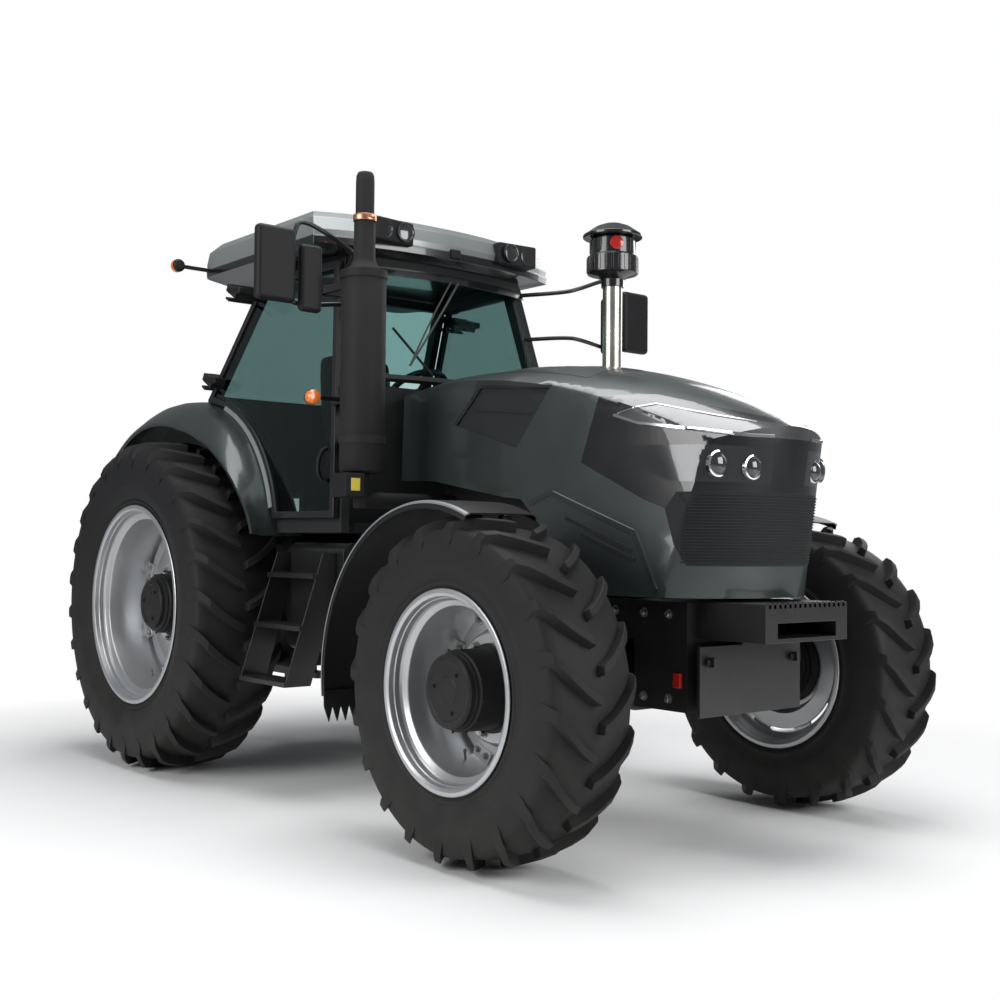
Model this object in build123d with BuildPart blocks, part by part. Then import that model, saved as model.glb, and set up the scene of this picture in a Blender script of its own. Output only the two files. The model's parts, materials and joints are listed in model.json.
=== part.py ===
"""Farm tractor with a four-post cab, built as separate pieces on real joints.

Millimetres. +X is forward, +Y the driver's left, +Z up. The origin lies on the
ground below the middle of the whole machine.
"""
import math
import os

from build123d import *

os.makedirs("parts", exist_ok=True)

# ---------------------------------------------------------------- driving sizes
WHEELBASE = 2880
REAR_AXLE_X = -1230
FRONT_AXLE_X = REAR_AXLE_X + WHEELBASE
FIT = 0.05              # radial play of a pin in its bore
TOUCH = 0.3             # gap between two curved faces that seat on each other
SHUT_GAP = 6            # air between a door and the frame it closes on

# wheels: every radius is measured from the wheel's own axle
FRONT_WHEEL = dict(
    axle_x=FRONT_AXLE_X, track=1010, tip=700, crown=662, shoulder=640, tread=192, bulge=213,
    bulge_radius=545, seat=381, flange=406, rim_half=205, well=345, disc_y=-45, disc_radius=318,
    hub_inner=-109.7, hub_flange=215, hub_barrel=165, hub_cap=150, hub_face=185, bore=60,
    lugs=20, lug_turn=7.5, lug_half=19)
REAR_WHEEL = dict(
    axle_x=REAR_AXLE_X, track=1000, tip=925, crown=880, shoulder=850, tread=238, bulge=262,
    bulge_radius=735, seat=533, flange=559, rim_half=231, well=490, disc_y=-20, disc_radius=458,
    hub_inner=-264.7, hub_flange=230, hub_barrel=170, hub_cap=140, hub_face=120, bore=80,
    lugs=26, lug_turn=6.0, lug_half=22)
FLANGE_THICK = 12
RIM_WALL = 10
DISC_THICK = 14
BRACKET_COUNT = 8

# front axle and steering, about the axle's own centre
KINGPIN_Y = 800
KINGPIN_RADIUS = 30
FORK_INNER = 130
FORK_THICK = 35
FORK_HALF = 65
BEAM_END_Y = 680
BEAM_RADIUS = 80
DIFF_RADIUS = 150
KNUCKLE_RADIUS = 78
SPINDLE_FLANGE = 150
SPINDLE_FACE = 100
STEER_ARM = 240
TIE_ROD_RADIUS = 20
PENDULUM_RISE = 120
PENDULUM_HALF = 150
PENDULUM_PIN = 40
HANGER_THICK = 30
TIE_PIN = 12
POST_BACK = 175
POST_INBOARD = 50
MUDGUARD_CENTRE_BACK = 165
MUDGUARD_RADIUS = 745
MUDGUARD_WALL = 8
MUDGUARD_INNER_Y = 830
MUDGUARD_OUTER_Y = 1200

# cab, as distances ahead of the rear axle and heights above the ground
CAB_SIDE_Y = 775
CAB_POST = 50
CAB_FLOOR_Z = 1330
CAB_TOP_Z = 2800
DOOR_THICK = 34
GLASS_THICK = 6
FLOOR_THICK = 50
PLATFORM_Z = 1550

# rear fender arc
FENDER_CENTRE_BACK = 139
FENDER_CENTRE_Z = 962
FENDER_RADIUS = 1142
FENDER_WALL = 12
FENDER_OUTER_Y = 1020
FENDER_INNER_Y = 700

# hood
HOOD_WALL = 10
HOOD_HINGE_FORE = 1500
HOOD_HINGE_Z = 2040
HOOD_PIN = 12
HOOD_LUG_RADIUS = 24
HOOD_LUG_THICK = 20
HOOD_LUG_Y = 180
SIDE_PLAY = 2           # air beside an eye on its pin

# three-point linkage, an exact parallelogram
LINK_PIVOT_BACK = 100
LIFT_ARM_Z = 1300
LOWER_LINK_Z = 580
LIFT_ARM_LENGTH = 500
LOWER_LINK_LENGTH = 1080
LINK_PIN = 22
LINK_ARM_Y = 320
BALL_BORE = 18.7
LINK_THICK = 45


def fore(distance):
    """X of a place that far ahead of the rear axle."""
    return REAR_AXLE_X + distance


def side_plane(y):
    """Sketch plane seen from the right: local x runs forward, local y runs up."""
    return Plane(origin=(0, y, 0), x_dir=(1, 0, 0), z_dir=(0, -1, 0))


def fore_points(points):
    """Places given as (ahead of the rear axle, height) turned into sketch points."""
    return [(fore(x), z) for x, z in points]


def mirrored(part):
    """The same piece on the other side of the machine."""
    return mirror(part, about=Plane.XZ)


def save(part, name):
    part.label = name
    export_step(part, f"parts/{name}.step")


def save_pair(part, name):
    """Write a left piece and its right twin."""
    save(part, f"{name}_left")
    save(mirrored(part), f"{name}_right")


def save_both(part, name):
    """Write both sides of a piece as one node of two solids."""
    save(Compound(children=[part, mirrored(part)]), name)


# ---------------------------------------------------------------- wheels
def wheel_plane(wheel):
    """Radial plane of the left wheel: local x outboard, local y up from the axle."""
    origin = (wheel["axle_x"], wheel["track"], wheel["tip"])
    return Plane(origin=origin, x_dir=(0, 1, 0), z_dir=(1, 0, 0))


def wheel_axis(wheel):
    return Axis((wheel["axle_x"], wheel["track"], wheel["tip"]), (0, 1, 0))


def lug(wheel, side):
    """One tread bar at the top of the left tyre, bent back towards the shoulder."""
    turn = wheel["lug_turn"]
    half = wheel["lug_half"]
    tip = wheel["tip"]
    # offset across the tread, turn about the axle, foot radius, top radius, foot half width
    sections = [
        (10, turn, wheel["crown"] - 12, tip, half),
        (0.55 * wheel["tread"], 0.25 * turn, wheel["crown"] - 16, tip - 3, half * 1.05),
        (wheel["bulge"] - 6, -turn, wheel["shoulder"] - 34, wheel["shoulder"] + 22, half * 1.25),
    ]
    with BuildPart() as bar:
        for offset_y, angle, foot, top, foot_half in sections:
            y = wheel["track"] + side * offset_y
            plane = Plane(origin=(wheel["axle_x"], y, wheel["tip"]), x_dir=(1, 0, 0), z_dir=(0, -1, 0))
            corners = []
            for radius, half_width in ((foot, -foot_half), (foot, foot_half), (top, 0.62 * foot_half),
                                       (top, -0.62 * foot_half)):
                swing = math.radians(angle) + half_width / radius
                corners.append((radius * math.sin(swing), radius * math.cos(swing)))
            with BuildSketch(plane):
                Polygon(*corners, align=None)
        loft(ruled=True)
    return bar.part


def build_tyre(wheel):
    """Closed carcass from bead to crown with two staggered rows of lugs."""
    seat = wheel["seat"] + TOUCH
    bead_y = wheel["rim_half"] - FLANGE_THICK - TOUCH
    pitch = 360 / wheel["lugs"]
    inner = lug(wheel, -1)
    outer = lug(wheel, 1)
    axis = wheel_axis(wheel)
    bars = [inner.rotate(axis, pitch * i) for i in range(wheel["lugs"])]
    bars += [outer.rotate(axis, pitch * (i + 0.5)) for i in range(wheel["lugs"])]
    half = [
        (bead_y, seat),
        (bead_y, wheel["flange"] + 8),
        (wheel["bulge"], wheel["bulge_radius"]),
        (wheel["tread"], wheel["shoulder"]),
        (0, wheel["crown"]),
    ]
    with BuildPart() as tyre:
        with BuildSketch(wheel_plane(wheel)):
            Polygon(*half, *[(-y, r) for y, r in reversed(half[:-1])], align=None)
        revolve(axis=axis)
        add(bars)
    return tyre.part


def build_rim(wheel):
    """Rolled rim barrel, dished disc and the brackets that join them."""
    half = wheel["rim_half"]
    seat = wheel["seat"]
    well = wheel["well"]
    ledge = half - FLANGE_THICK
    outer = [(half, wheel["flange"]), (ledge, wheel["flange"]), (ledge, seat), (ledge - 48, seat),
             (ledge - 70, well)]
    inner = [(half, seat - RIM_WALL), (ledge - 42, seat - RIM_WALL), (ledge - 64, well - RIM_WALL)]
    disc = wheel["disc_y"]
    hub = wheel["hub_flange"]
    edge = wheel["disc_radius"]
    with BuildPart() as rim:
        with BuildSketch(wheel_plane(wheel)):
            Polygon(*outer, *[(-y, r) for y, r in reversed(outer)],
                    *[(-y, r) for y, r in inner], *reversed(inner), align=None)
            Polygon((disc, wheel["bore"] + 4), (disc, hub + 10), (disc - 60, edge - 70), (disc - 60, edge),
                    (disc - 60 - DISC_THICK, edge), (disc - 60 - DISC_THICK, edge - 76),
                    (disc - DISC_THICK, hub + 4), (disc - DISC_THICK, wheel["bore"] + 4), align=None)
        revolve(axis=wheel_axis(wheel))
        bracket_y = wheel["track"] + disc - 60
        base = Plane(origin=(wheel["axle_x"], bracket_y, wheel["tip"]), x_dir=(1, 0, 0), z_dir=(0, 1, 0))
        with BuildSketch(base):
            with PolarLocations((edge + well) / 2 - 14, BRACKET_COUNT, start_angle=180 / BRACKET_COUNT):
                Rectangle(well - edge + 46, 110)
        extrude(amount=DISC_THICK)
    return rim.part


def build_hub(wheel):
    """Planetary hub: bolted flange, barrel and round cap, running on the spindle."""
    disc = wheel["disc_y"]
    start = wheel["hub_inner"]
    bore = wheel["bore"] + FIT
    cap = wheel["hub_face"]
    profile = [
        (start, bore), (start, wheel["hub_barrel"]), (disc - DISC_THICK - 26, wheel["hub_barrel"]),
        (disc - DISC_THICK - 18, wheel["hub_flange"] - 22), (disc - DISC_THICK, wheel["hub_flange"] - 22),
        (disc - DISC_THICK, wheel["bore"] + 3.7), (disc, wheel["bore"] + 3.7),
        (disc, wheel["hub_barrel"]), (cap - 40, wheel["hub_barrel"]),
        (cap - 30, wheel["hub_cap"]), (cap - 8, wheel["hub_cap"]), (cap, wheel["hub_cap"] - 12), (cap, 0),
        (disc + 20, 0), (disc + 20, bore),
    ]
    with BuildPart() as hub:
        with BuildSketch(wheel_plane(wheel)):
            Polygon(*profile, align=None)
        revolve(axis=wheel_axis(wheel))
    return hub.part


for wheel_name, wheel_spec in (("front", FRONT_WHEEL), ("rear", REAR_WHEEL)):
    save_pair(build_tyre(wheel_spec), f"tyre_{wheel_name}")
    save_pair(build_rim(wheel_spec), f"rim_{wheel_name}")
    save_pair(build_hub(wheel_spec), f"hub_{wheel_name}")


# ---------------------------------------------------------------- front axle
FRONT_AXLE_Z = FRONT_WHEEL["tip"]
REAR_AXLE_Z = REAR_WHEEL["tip"]


def build_front_axle():
    """Differential case, tapered tubes, end forks and the bosses it pivots on."""
    centre = (FRONT_AXLE_X, 0, FRONT_AXLE_Z)
    with BuildPart() as axle:
        with BuildSketch(Plane(origin=centre, x_dir=(0, 1, 0), z_dir=(1, 0, 0))):
            Polygon((-BEAM_END_Y, 0), (-BEAM_END_Y, BEAM_RADIUS), (-300, BEAM_RADIUS + 6), (-150, DIFF_RADIUS),
                    (150, DIFF_RADIUS), (300, BEAM_RADIUS + 6), (BEAM_END_Y, BEAM_RADIUS), (BEAM_END_Y, 0),
                    align=None)
        revolve(axis=Axis(centre, (0, 1, 0)))
        boss = Plane(origin=(FRONT_AXLE_X, 0, FRONT_AXLE_Z + PENDULUM_RISE), x_dir=(0, 1, 0), z_dir=(1, 0, 0))
        with BuildSketch(boss):
            Circle(60)
        extrude(amount=PENDULUM_HALF, both=True)
        with BuildSketch(boss):
            Circle(PENDULUM_PIN)
        extrude(amount=PENDULUM_HALF + HANGER_THICK, both=True)
        for side in (-1, 1):
            for level in (-1, 1):
                low = FRONT_AXLE_Z + (FORK_INNER if level > 0 else -FORK_INNER - FORK_THICK)
                with BuildSketch(Plane.XY.offset(low)):
                    with Locations((FRONT_AXLE_X, side * KINGPIN_Y)):
                        Circle(FORK_HALF)
                    with Locations((FRONT_AXLE_X, side * (BEAM_END_Y - 60 + KINGPIN_Y) / 2)):
                        Rectangle(2 * FORK_HALF, KINGPIN_Y - BEAM_END_Y + 60)
                extrude(amount=FORK_THICK)
                with BuildSketch(Plane.XY.offset(low)):
                    with Locations((FRONT_AXLE_X, side * KINGPIN_Y)):
                        Circle(KINGPIN_RADIUS + FIT)
                extrude(amount=FORK_THICK, mode=Mode.SUBTRACT)
            with BuildSketch(Plane.XY.offset(FRONT_AXLE_Z - FORK_INNER - FORK_THICK)):
                with Locations((FRONT_AXLE_X, side * (BEAM_END_Y - 30))):
                    Rectangle(2 * FORK_HALF, 60)
            extrude(amount=2 * (FORK_INNER + FORK_THICK))
    return axle.part


def build_knuckle():
    """Left steering knuckle: kingpins, spindle housing, spindle and steering arm."""
    with BuildPart() as knuckle:
        with BuildSketch(Plane.XY.offset(FRONT_AXLE_Z - FORK_INNER + 5)):
            with Locations((FRONT_AXLE_X, KINGPIN_Y)):
                Circle(KNUCKLE_RADIUS)
        extrude(amount=2 * FORK_INNER - 10)
        with BuildSketch(Plane.XY.offset(FRONT_AXLE_Z - FORK_INNER - FORK_THICK)):
            with Locations((FRONT_AXLE_X, KINGPIN_Y)):
                Circle(KINGPIN_RADIUS)
        extrude(amount=2 * (FORK_INNER + FORK_THICK))
        centre = (FRONT_AXLE_X, KINGPIN_Y, FRONT_AXLE_Z)
        with BuildSketch(Plane(origin=centre, x_dir=(0, 1, 0), z_dir=(1, 0, 0))):
            Polygon((0, 0), (0, 90), (SPINDLE_FACE - 16, 120), (SPINDLE_FACE - 16, SPINDLE_FLANGE),
                    (SPINDLE_FACE, SPINDLE_FLANGE), (SPINDLE_FACE, FRONT_WHEEL["bore"]),
                    (SPINDLE_FACE + 78, FRONT_WHEEL["bore"]), (SPINDLE_FACE + 78, 0), align=None)
        revolve(axis=Axis(centre, (0, 1, 0)))
        with BuildSketch(Plane.XY.offset(FRONT_AXLE_Z - 20)):
            with Locations((FRONT_AXLE_X - STEER_ARM / 2, KINGPIN_Y)):
                Rectangle(STEER_ARM, 60)
            with Locations((FRONT_AXLE_X - STEER_ARM, KINGPIN_Y)):
                Circle(30)
            with Locations((FRONT_AXLE_X - POST_BACK, KINGPIN_Y - POST_INBOARD / 2)):
                Rectangle(50, POST_INBOARD + 30)
        extrude(amount=40)
        with BuildSketch(Plane.XY.offset(FRONT_AXLE_Z - 20)):
            with Locations((FRONT_AXLE_X - STEER_ARM, KINGPIN_Y)):
                Circle(TIE_PIN + FIT)
        extrude(amount=40, mode=Mode.SUBTRACT)
    return knuckle.part


def build_tie_rod():
    """Rod behind the axle between both steering arms, with an eye and pin at each end."""
    level = FRONT_AXLE_Z - 20 - 4 - 2 * TIE_ROD_RADIUS
    x = FRONT_AXLE_X - STEER_ARM
    with BuildPart() as rod:
        middle = Plane(origin=(x, 0, level + TIE_ROD_RADIUS), x_dir=(1, 0, 0), z_dir=(0, 1, 0))
        with BuildSketch(middle):
            Circle(TIE_ROD_RADIUS)
        extrude(amount=KINGPIN_Y - 20, both=True)
        for side in (-1, 1):
            with BuildSketch(Plane.XY.offset(level)):
                with Locations((x, side * KINGPIN_Y)):
                    Circle(30)
            extrude(amount=2 * TIE_ROD_RADIUS)
            with BuildSketch(Plane.XY.offset(level)):
                with Locations((x, side * KINGPIN_Y)):
                    Circle(TIE_PIN)
            extrude(amount=2 * TIE_ROD_RADIUS + 4 + 40)
    return rod.part


def build_mudguard():
    """Left front mudguard shell on the post that stands on the steering arm."""
    centre = (FRONT_AXLE_X - MUDGUARD_CENTRE_BACK, 0, FRONT_AXLE_Z)
    arc_plane = Plane(origin=(centre[0], MUDGUARD_INNER_Y, centre[2]), x_dir=(-1, 0, 0), z_dir=(0, 1, 0))
    width = MUDGUARD_OUTER_Y - MUDGUARD_INNER_Y
    post_x = FRONT_AXLE_X - POST_BACK
    post_y = KINGPIN_Y - POST_INBOARD / 2 - 10
    arm_z = FRONT_AXLE_Z + MUDGUARD_RADIUS - 2
    with BuildPart() as guard:
        with BuildSketch(arc_plane):
            with BuildLine():
                CenterArc((0, 0), MUDGUARD_RADIUS, -8, 120)
                CenterArc((0, 0), MUDGUARD_RADIUS + MUDGUARD_WALL, -8, 120)
                for angle in (-8, 112):
                    a = math.radians(angle)
                    Line((MUDGUARD_RADIUS * math.cos(a), MUDGUARD_RADIUS * math.sin(a)),
                         ((MUDGUARD_RADIUS + MUDGUARD_WALL) * math.cos(a),
                          (MUDGUARD_RADIUS + MUDGUARD_WALL) * math.sin(a)))
            make_face()
        extrude(amount=width)
        with BuildSketch(Plane.XY.offset(FRONT_AXLE_Z + 20)):
            with Locations((post_x, post_y)):
                Rectangle(36, 24)
        extrude(amount=arm_z - FRONT_AXLE_Z - 20)
        with BuildSketch(Plane.XY.offset(arm_z - 24)):
            with Locations((post_x, (post_y - 12 + MUDGUARD_OUTER_Y - 60) / 2)):
                Rectangle(36, MUDGUARD_OUTER_Y - 60 - post_y + 12)
        extrude(amount=27)
    return guard.part


save(build_front_axle(), "front_axle")
save_pair(build_knuckle(), "knuckle")
save(build_tie_rod(), "tie_rod")
save_pair(build_mudguard(), "front_mudguard")


# ---------------------------------------------------------------- chassis
ENGINE_REAR_FORE = 1600
ENGINE_FRONT_FORE = 2620
ENGINE_HALF = 240
ENGINE_LOW_Z = 800
ENGINE_TOP_Z = 1720
RAIL_THICK = 50
RAIL_LOW_Z = 880
FRAME_TOP_Z = 1050
FRONT_BLOCK_FORE = 3060
FRONT_FACE_FORE = 3360
FRONT_BLOCK_HALF = 330
GEARBOX_HALF = 230
GEARBOX_REAR_FORE = -280
GEARBOX_LOW_Z = 620
GEARBOX_TOP_Z = 1150
CARRIER_FORE = 3710
CARRIER_HALF = 267
CARRIER_LOW_Z = 900
CARRIER_TOP_Z = 1055
TANK_SIDE_Y = 790
TANK_REAR_FORE = 960
TANK_FRONT_FORE = 1500
PTO_RADIUS = 17.45
PTO_LENGTH = 80
PTO_Z = 720
SHAFT_Z = 720
SHAFT_RADIUS = 33
DRAWBAR_HOLE = 16.5
DRAWBAR_THICK = 38
DRAWBAR_Z = 440


def block(x_low, x_high, y_low, y_high, z_low, z_high, mode=Mode.ADD):
    """Straight-sided mass inside an open part, its X given as distance ahead of the rear axle."""
    with BuildSketch(Plane.XY.offset(z_low)) as profile:
        with Locations((fore((x_low + x_high) / 2), (y_low + y_high) / 2)):
            Rectangle(x_high - x_low, y_high - y_low)
    extrude(profile.sketch, amount=z_high - z_low, mode=mode)


def cross_bar(x, z, radius, y_low, y_high, mode=Mode.ADD):
    """Round bar across the machine at a place given ahead of the rear axle."""
    with BuildSketch(Plane(origin=(fore(x), y_low, z), x_dir=(1, 0, 0), z_dir=(0, 1, 0))) as profile:
        Circle(radius)
    extrude(profile.sketch, amount=y_high - y_low, mode=mode)


def build_engine():
    with BuildPart() as engine:
        block(ENGINE_REAR_FORE, ENGINE_FRONT_FORE, -ENGINE_HALF, ENGINE_HALF, ENGINE_LOW_Z, ENGINE_TOP_Z)
    return engine.part


def build_front_frame():
    """Rails beside the engine, front casting and the hangers of the axle pivot."""
    rail_out = ENGINE_HALF + RAIL_THICK
    hanger = PENDULUM_HALF + HANGER_THICK
    pivot_z = FRONT_AXLE_Z + PENDULUM_RISE
    with BuildPart() as frame:
        for side in (-1, 1):
            low, high = sorted((side * ENGINE_HALF, side * rail_out))
            block(ENGINE_REAR_FORE + 200, FRONT_BLOCK_FORE, low, high, RAIL_LOW_Z, FRAME_TOP_Z)
        block(FRONT_BLOCK_FORE, FRONT_FACE_FORE, -FRONT_BLOCK_HALF, FRONT_BLOCK_HALF, 600, FRAME_TOP_Z)
        block(WHEELBASE - hanger - 60, FRONT_BLOCK_FORE, -rail_out, rail_out, pivot_z + 110, FRAME_TOP_Z - 20)
        for face in (-hanger, PENDULUM_HALF):
            block(WHEELBASE + face, WHEELBASE + face + HANGER_THICK, -100, 100, pivot_z - 60, pivot_z + 120)
        with BuildSketch(Plane(origin=(FRONT_AXLE_X - hanger, 0, pivot_z), x_dir=(0, 1, 0), z_dir=(1, 0, 0))):
            Circle(PENDULUM_PIN + TOUCH)
        extrude(amount=2 * hanger, mode=Mode.SUBTRACT)
    return frame.part


def build_transmission():
    """Gearbox, rear axle tubes with their spindles, rockshaft, cab posts and output shaft."""
    centre = (REAR_AXLE_X, 0, REAR_AXLE_Z)
    spindle = REAR_WHEEL["bore"]
    face = REAR_WHEEL["track"] + REAR_WHEEL["hub_inner"] - TOUCH
    rear = GEARBOX_REAR_FORE
    pin_end = LINK_ARM_Y + LINK_THICK / 2
    boss_end = LINK_ARM_Y - LINK_THICK / 2 - 1
    with BuildPart() as box:
        block(rear, ENGINE_REAR_FORE, -GEARBOX_HALF, GEARBOX_HALF, GEARBOX_LOW_Z, GEARBOX_TOP_Z)
        block(rear, 60, -GEARBOX_HALF, GEARBOX_HALF, 520, LIFT_ARM_Z + 90)
        block(1330, 1430, -180, 180, GEARBOX_TOP_Z, CAB_FLOOR_Z)
        with BuildSketch(Plane(origin=centre, x_dir=(0, 1, 0), z_dir=(1, 0, 0))):
            Polygon((0, 0), (0, 170), (GEARBOX_HALF, 170), (330, 120), (face - 130, 120), (face - 90, 168),
                    (face, 168), (face, spindle), (face + 200, spindle), (face + 200, 0), align=None)
        tube = revolve(axis=Axis(centre, (0, 1, 0)))
        mirror(about=Plane.XZ)
        for side in (-1, 1):
            low, high = sorted((side * 380, side * 460))
            block(-40, 40, low, high, REAR_AXLE_Z + 80, PLATFORM_Z)
        cross_bar(-LINK_PIVOT_BACK, LIFT_ARM_Z, LINK_PIN + 13, -pin_end, pin_end)
        cross_bar(-LINK_PIVOT_BACK, LOWER_LINK_Z, LINK_PIN, -pin_end, pin_end)
        cross_bar(-LINK_PIVOT_BACK, LOWER_LINK_Z, 50, -boss_end, boss_end)
        with BuildSketch(Plane(origin=(fore(rear), 0, PTO_Z), x_dir=(0, 1, 0), z_dir=(-1, 0, 0))):
            Circle(PTO_RADIUS)
        extrude(amount=PTO_LENGTH)
        with BuildSketch(Plane(origin=(fore(ENGINE_REAR_FORE), 0, SHAFT_Z), x_dir=(0, 1, 0), z_dir=(1, 0, 0))):
            Circle(SHAFT_RADIUS)
        extrude(amount=WHEELBASE - DIFF_RADIUS - TOUCH - ENGINE_REAR_FORE)
    return box.part


def build_drawbar():
    """Swinging drawbar held by its hanger below the gearbox."""
    with BuildPart() as bar:
        block(-620, 60, -45, 45, DRAWBAR_Z, DRAWBAR_Z + DRAWBAR_THICK)
        block(-250, -150, -90, 90, DRAWBAR_Z - 20, 520)
        with BuildSketch(Plane.XY.offset(DRAWBAR_Z)):
            with Locations((fore(-570), 0)):
                Circle(DRAWBAR_HOLE)
        extrude(amount=DRAWBAR_THICK, mode=Mode.SUBTRACT)
    return bar.part


def build_weight_carrier():
    """Front weight block with its window, and the guard plate below it."""
    with BuildPart() as carrier:
        block(FRONT_FACE_FORE, CARRIER_FORE, -CARRIER_HALF, CARRIER_HALF, CARRIER_LOW_Z, CARRIER_TOP_Z)
        block(CARRIER_FORE - 260, CARRIER_FORE, -190, 190, CARRIER_LOW_Z + 18, CARRIER_LOW_Z + 78, Mode.SUBTRACT)
        block(FRONT_FACE_FORE + 50, FRONT_FACE_FORE + 66, -327, 327, 585, 874)
        for side in (-1, 1):
            low, high = sorted((side * 100, side * 140))
            block(FRONT_FACE_FORE, FRONT_FACE_FORE + 50, low, high, 640, 800)
        block(FRONT_FACE_FORE + 50, FRONT_FACE_FORE + 66, -60, 60, 860, CARRIER_LOW_Z)
    return carrier.part


def build_side_tank():
    """Left side tank hung from the gearbox on two arms."""
    with BuildPart() as tank:
        block(TANK_REAR_FORE, TANK_FRONT_FORE, 330, TANK_SIDE_Y, 720, 1280)
        fillet(tank.edges().filter_by(Axis.X), 60)
        for x in (TANK_REAR_FORE + 100, TANK_FRONT_FORE - 160):
            block(x, x + 60, GEARBOX_HALF, 340, 900, 1000)
    return tank.part


# level, inner edge and outer edge of each tread, then its rear end ahead of the axle
TREADS = [(575, 930, 1080, 920), (845, 860, 1000, 960), (1100, 800, 930, 990)]
STEP_FRONT_FORE = 1440
TREAD_THICK = 25


def build_steps():
    """Left boarding steps: two leaning stringers and three treads."""
    with BuildPart() as steps:
        for x in (985, STEP_FRONT_FORE - 10):
            with BuildSketch(Plane(origin=(fore(x), 0, 0), x_dir=(0, 1, 0), z_dir=(1, 0, 0))):
                Polygon((TANK_SIDE_Y, 1230), (TANK_SIDE_Y, 1050), (930, 575), (1080, 575), (870, 1230), align=None)
            extrude(amount=10)
        for level, inner, outer, rear in TREADS:
            block(max(rear, 985), STEP_FRONT_FORE, inner, outer, level, level + TREAD_THICK)
    return steps.part


save(build_engine(), "engine_block")
save(build_front_frame(), "front_frame")
save(build_transmission(), "transmission")
save(build_drawbar(), "drawbar")
save(build_weight_carrier(), "weight_carrier")
save_both(build_side_tank(), "side_tanks")
save_both(build_steps(), "steps")


# ---------------------------------------------------------------- cab
PILLAR_LOW = (1470, CAB_FLOOR_Z)
PILLAR_HIGH = (1370, CAB_TOP_Z)
REAR_HIGH = (430, CAB_TOP_Z)
REAR_LOW = (30, 2100)


def fender_arc_x(z, radius):
    """Distance ahead of the rear axle where a circle about the fender's centre meets a height."""
    return math.sqrt(radius ** 2 - (z - FENDER_CENTRE_Z) ** 2) - FENDER_CENTRE_BACK


def pillar_x(z):
    """Front edge of the windscreen pillar at a height."""
    share = (z - PILLAR_LOW[1]) / (PILLAR_HIGH[1] - PILLAR_LOW[1])
    return PILLAR_LOW[0] + share * (PILLAR_HIGH[0] - PILLAR_LOW[0])


def side_outline(front, top, low, rear_shift, radius):
    """Outline of the cab's side or its door: four straight edges and the fender arc.

    front and rear_shift move the two leaning edges, top and low are heights.
    """
    rear_slope = (REAR_HIGH[0] - REAR_LOW[0]) / (REAR_HIGH[1] - REAR_LOW[1])
    rear_top = REAR_HIGH[0] + rear_shift - rear_slope * (REAR_HIGH[1] - top)
    rear_z = 2100 + rear_shift * 0.3
    rear_bottom = REAR_HIGH[0] + rear_shift - rear_slope * (REAR_HIGH[1] - rear_z)
    arc_top_z = FENDER_CENTRE_Z + math.sqrt(radius ** 2 - (rear_bottom + FENDER_CENTRE_BACK) ** 2)
    middle_z = (arc_top_z + low) / 2 + 120
    points = fore_points([
        (pillar_x(low) + front, low), (pillar_x(top) + front, top), (rear_top, top),
        (rear_bottom, max(rear_z, arc_top_z)), (rear_bottom, arc_top_z),
        (fender_arc_x(middle_z, radius), middle_z), (fender_arc_x(low, radius), low)])
    with BuildSketch() as outline:
        with BuildLine():
            corner = points[4] if points[3][1] - points[4][1] < 1 else points[3]
            Polyline(points[0], points[1], points[2], corner)
            if corner is points[3]:
                Line(points[3], points[4])
            ThreePointArc(points[4] if corner is points[3] else corner, points[5], points[6])
            Line(points[6], points[0])
        make_face()
    return outline.sketch


DOOR_INNER_Y = CAB_SIDE_Y + SHUT_GAP
DOOR_OUTER_Y = DOOR_INNER_Y + DOOR_THICK
DOOR_FRAME = 42
HINGE_Y = DOOR_OUTER_Y + 14
HINGE_BEHIND = 25
HINGE_PIN = 8
HINGE_HEIGHTS = (2210, 2690)
DOOR_SHAPE = dict(front=-12, top=2775, low=1405, rear_shift=30, radius=FENDER_RADIUS + 15)


def hinge_direction():
    """Unit direction up the leaning rear pillar."""
    run = REAR_HIGH[0] - REAR_LOW[0]
    rise = REAR_HIGH[1] - REAR_LOW[1]
    length = math.hypot(run, rise)
    return run / length, rise / length


def hinge_plane(z):
    """Plane square to the hinge line: local x points ahead of it, local y outboard."""
    lean_x, lean_z = hinge_direction()
    shift = DOOR_SHAPE["rear_shift"] - HINGE_BEHIND / lean_z
    x = REAR_LOW[0] + shift + (z - REAR_LOW[1]) * lean_x / lean_z
    return Plane(origin=(fore(x), HINGE_Y, z), x_dir=(lean_z, 0, -lean_x), z_dir=(lean_x, 0, lean_z))


def door_hinge_ears():
    """The left door's hinge ears on the rear pillar, with their pins."""
    with BuildPart() as ears:
        for z in HINGE_HEIGHTS:
            for low in (-40, 26):
                with BuildSketch(hinge_plane(z).offset(low)):
                    Circle(14)
                    with Locations((0, -28)):
                        Rectangle(28, 56)
                extrude(amount=14)
            with BuildSketch(hinge_plane(z).offset(-40)):
                Circle(HINGE_PIN)
            extrude(amount=80)
    return ears.part


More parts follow.
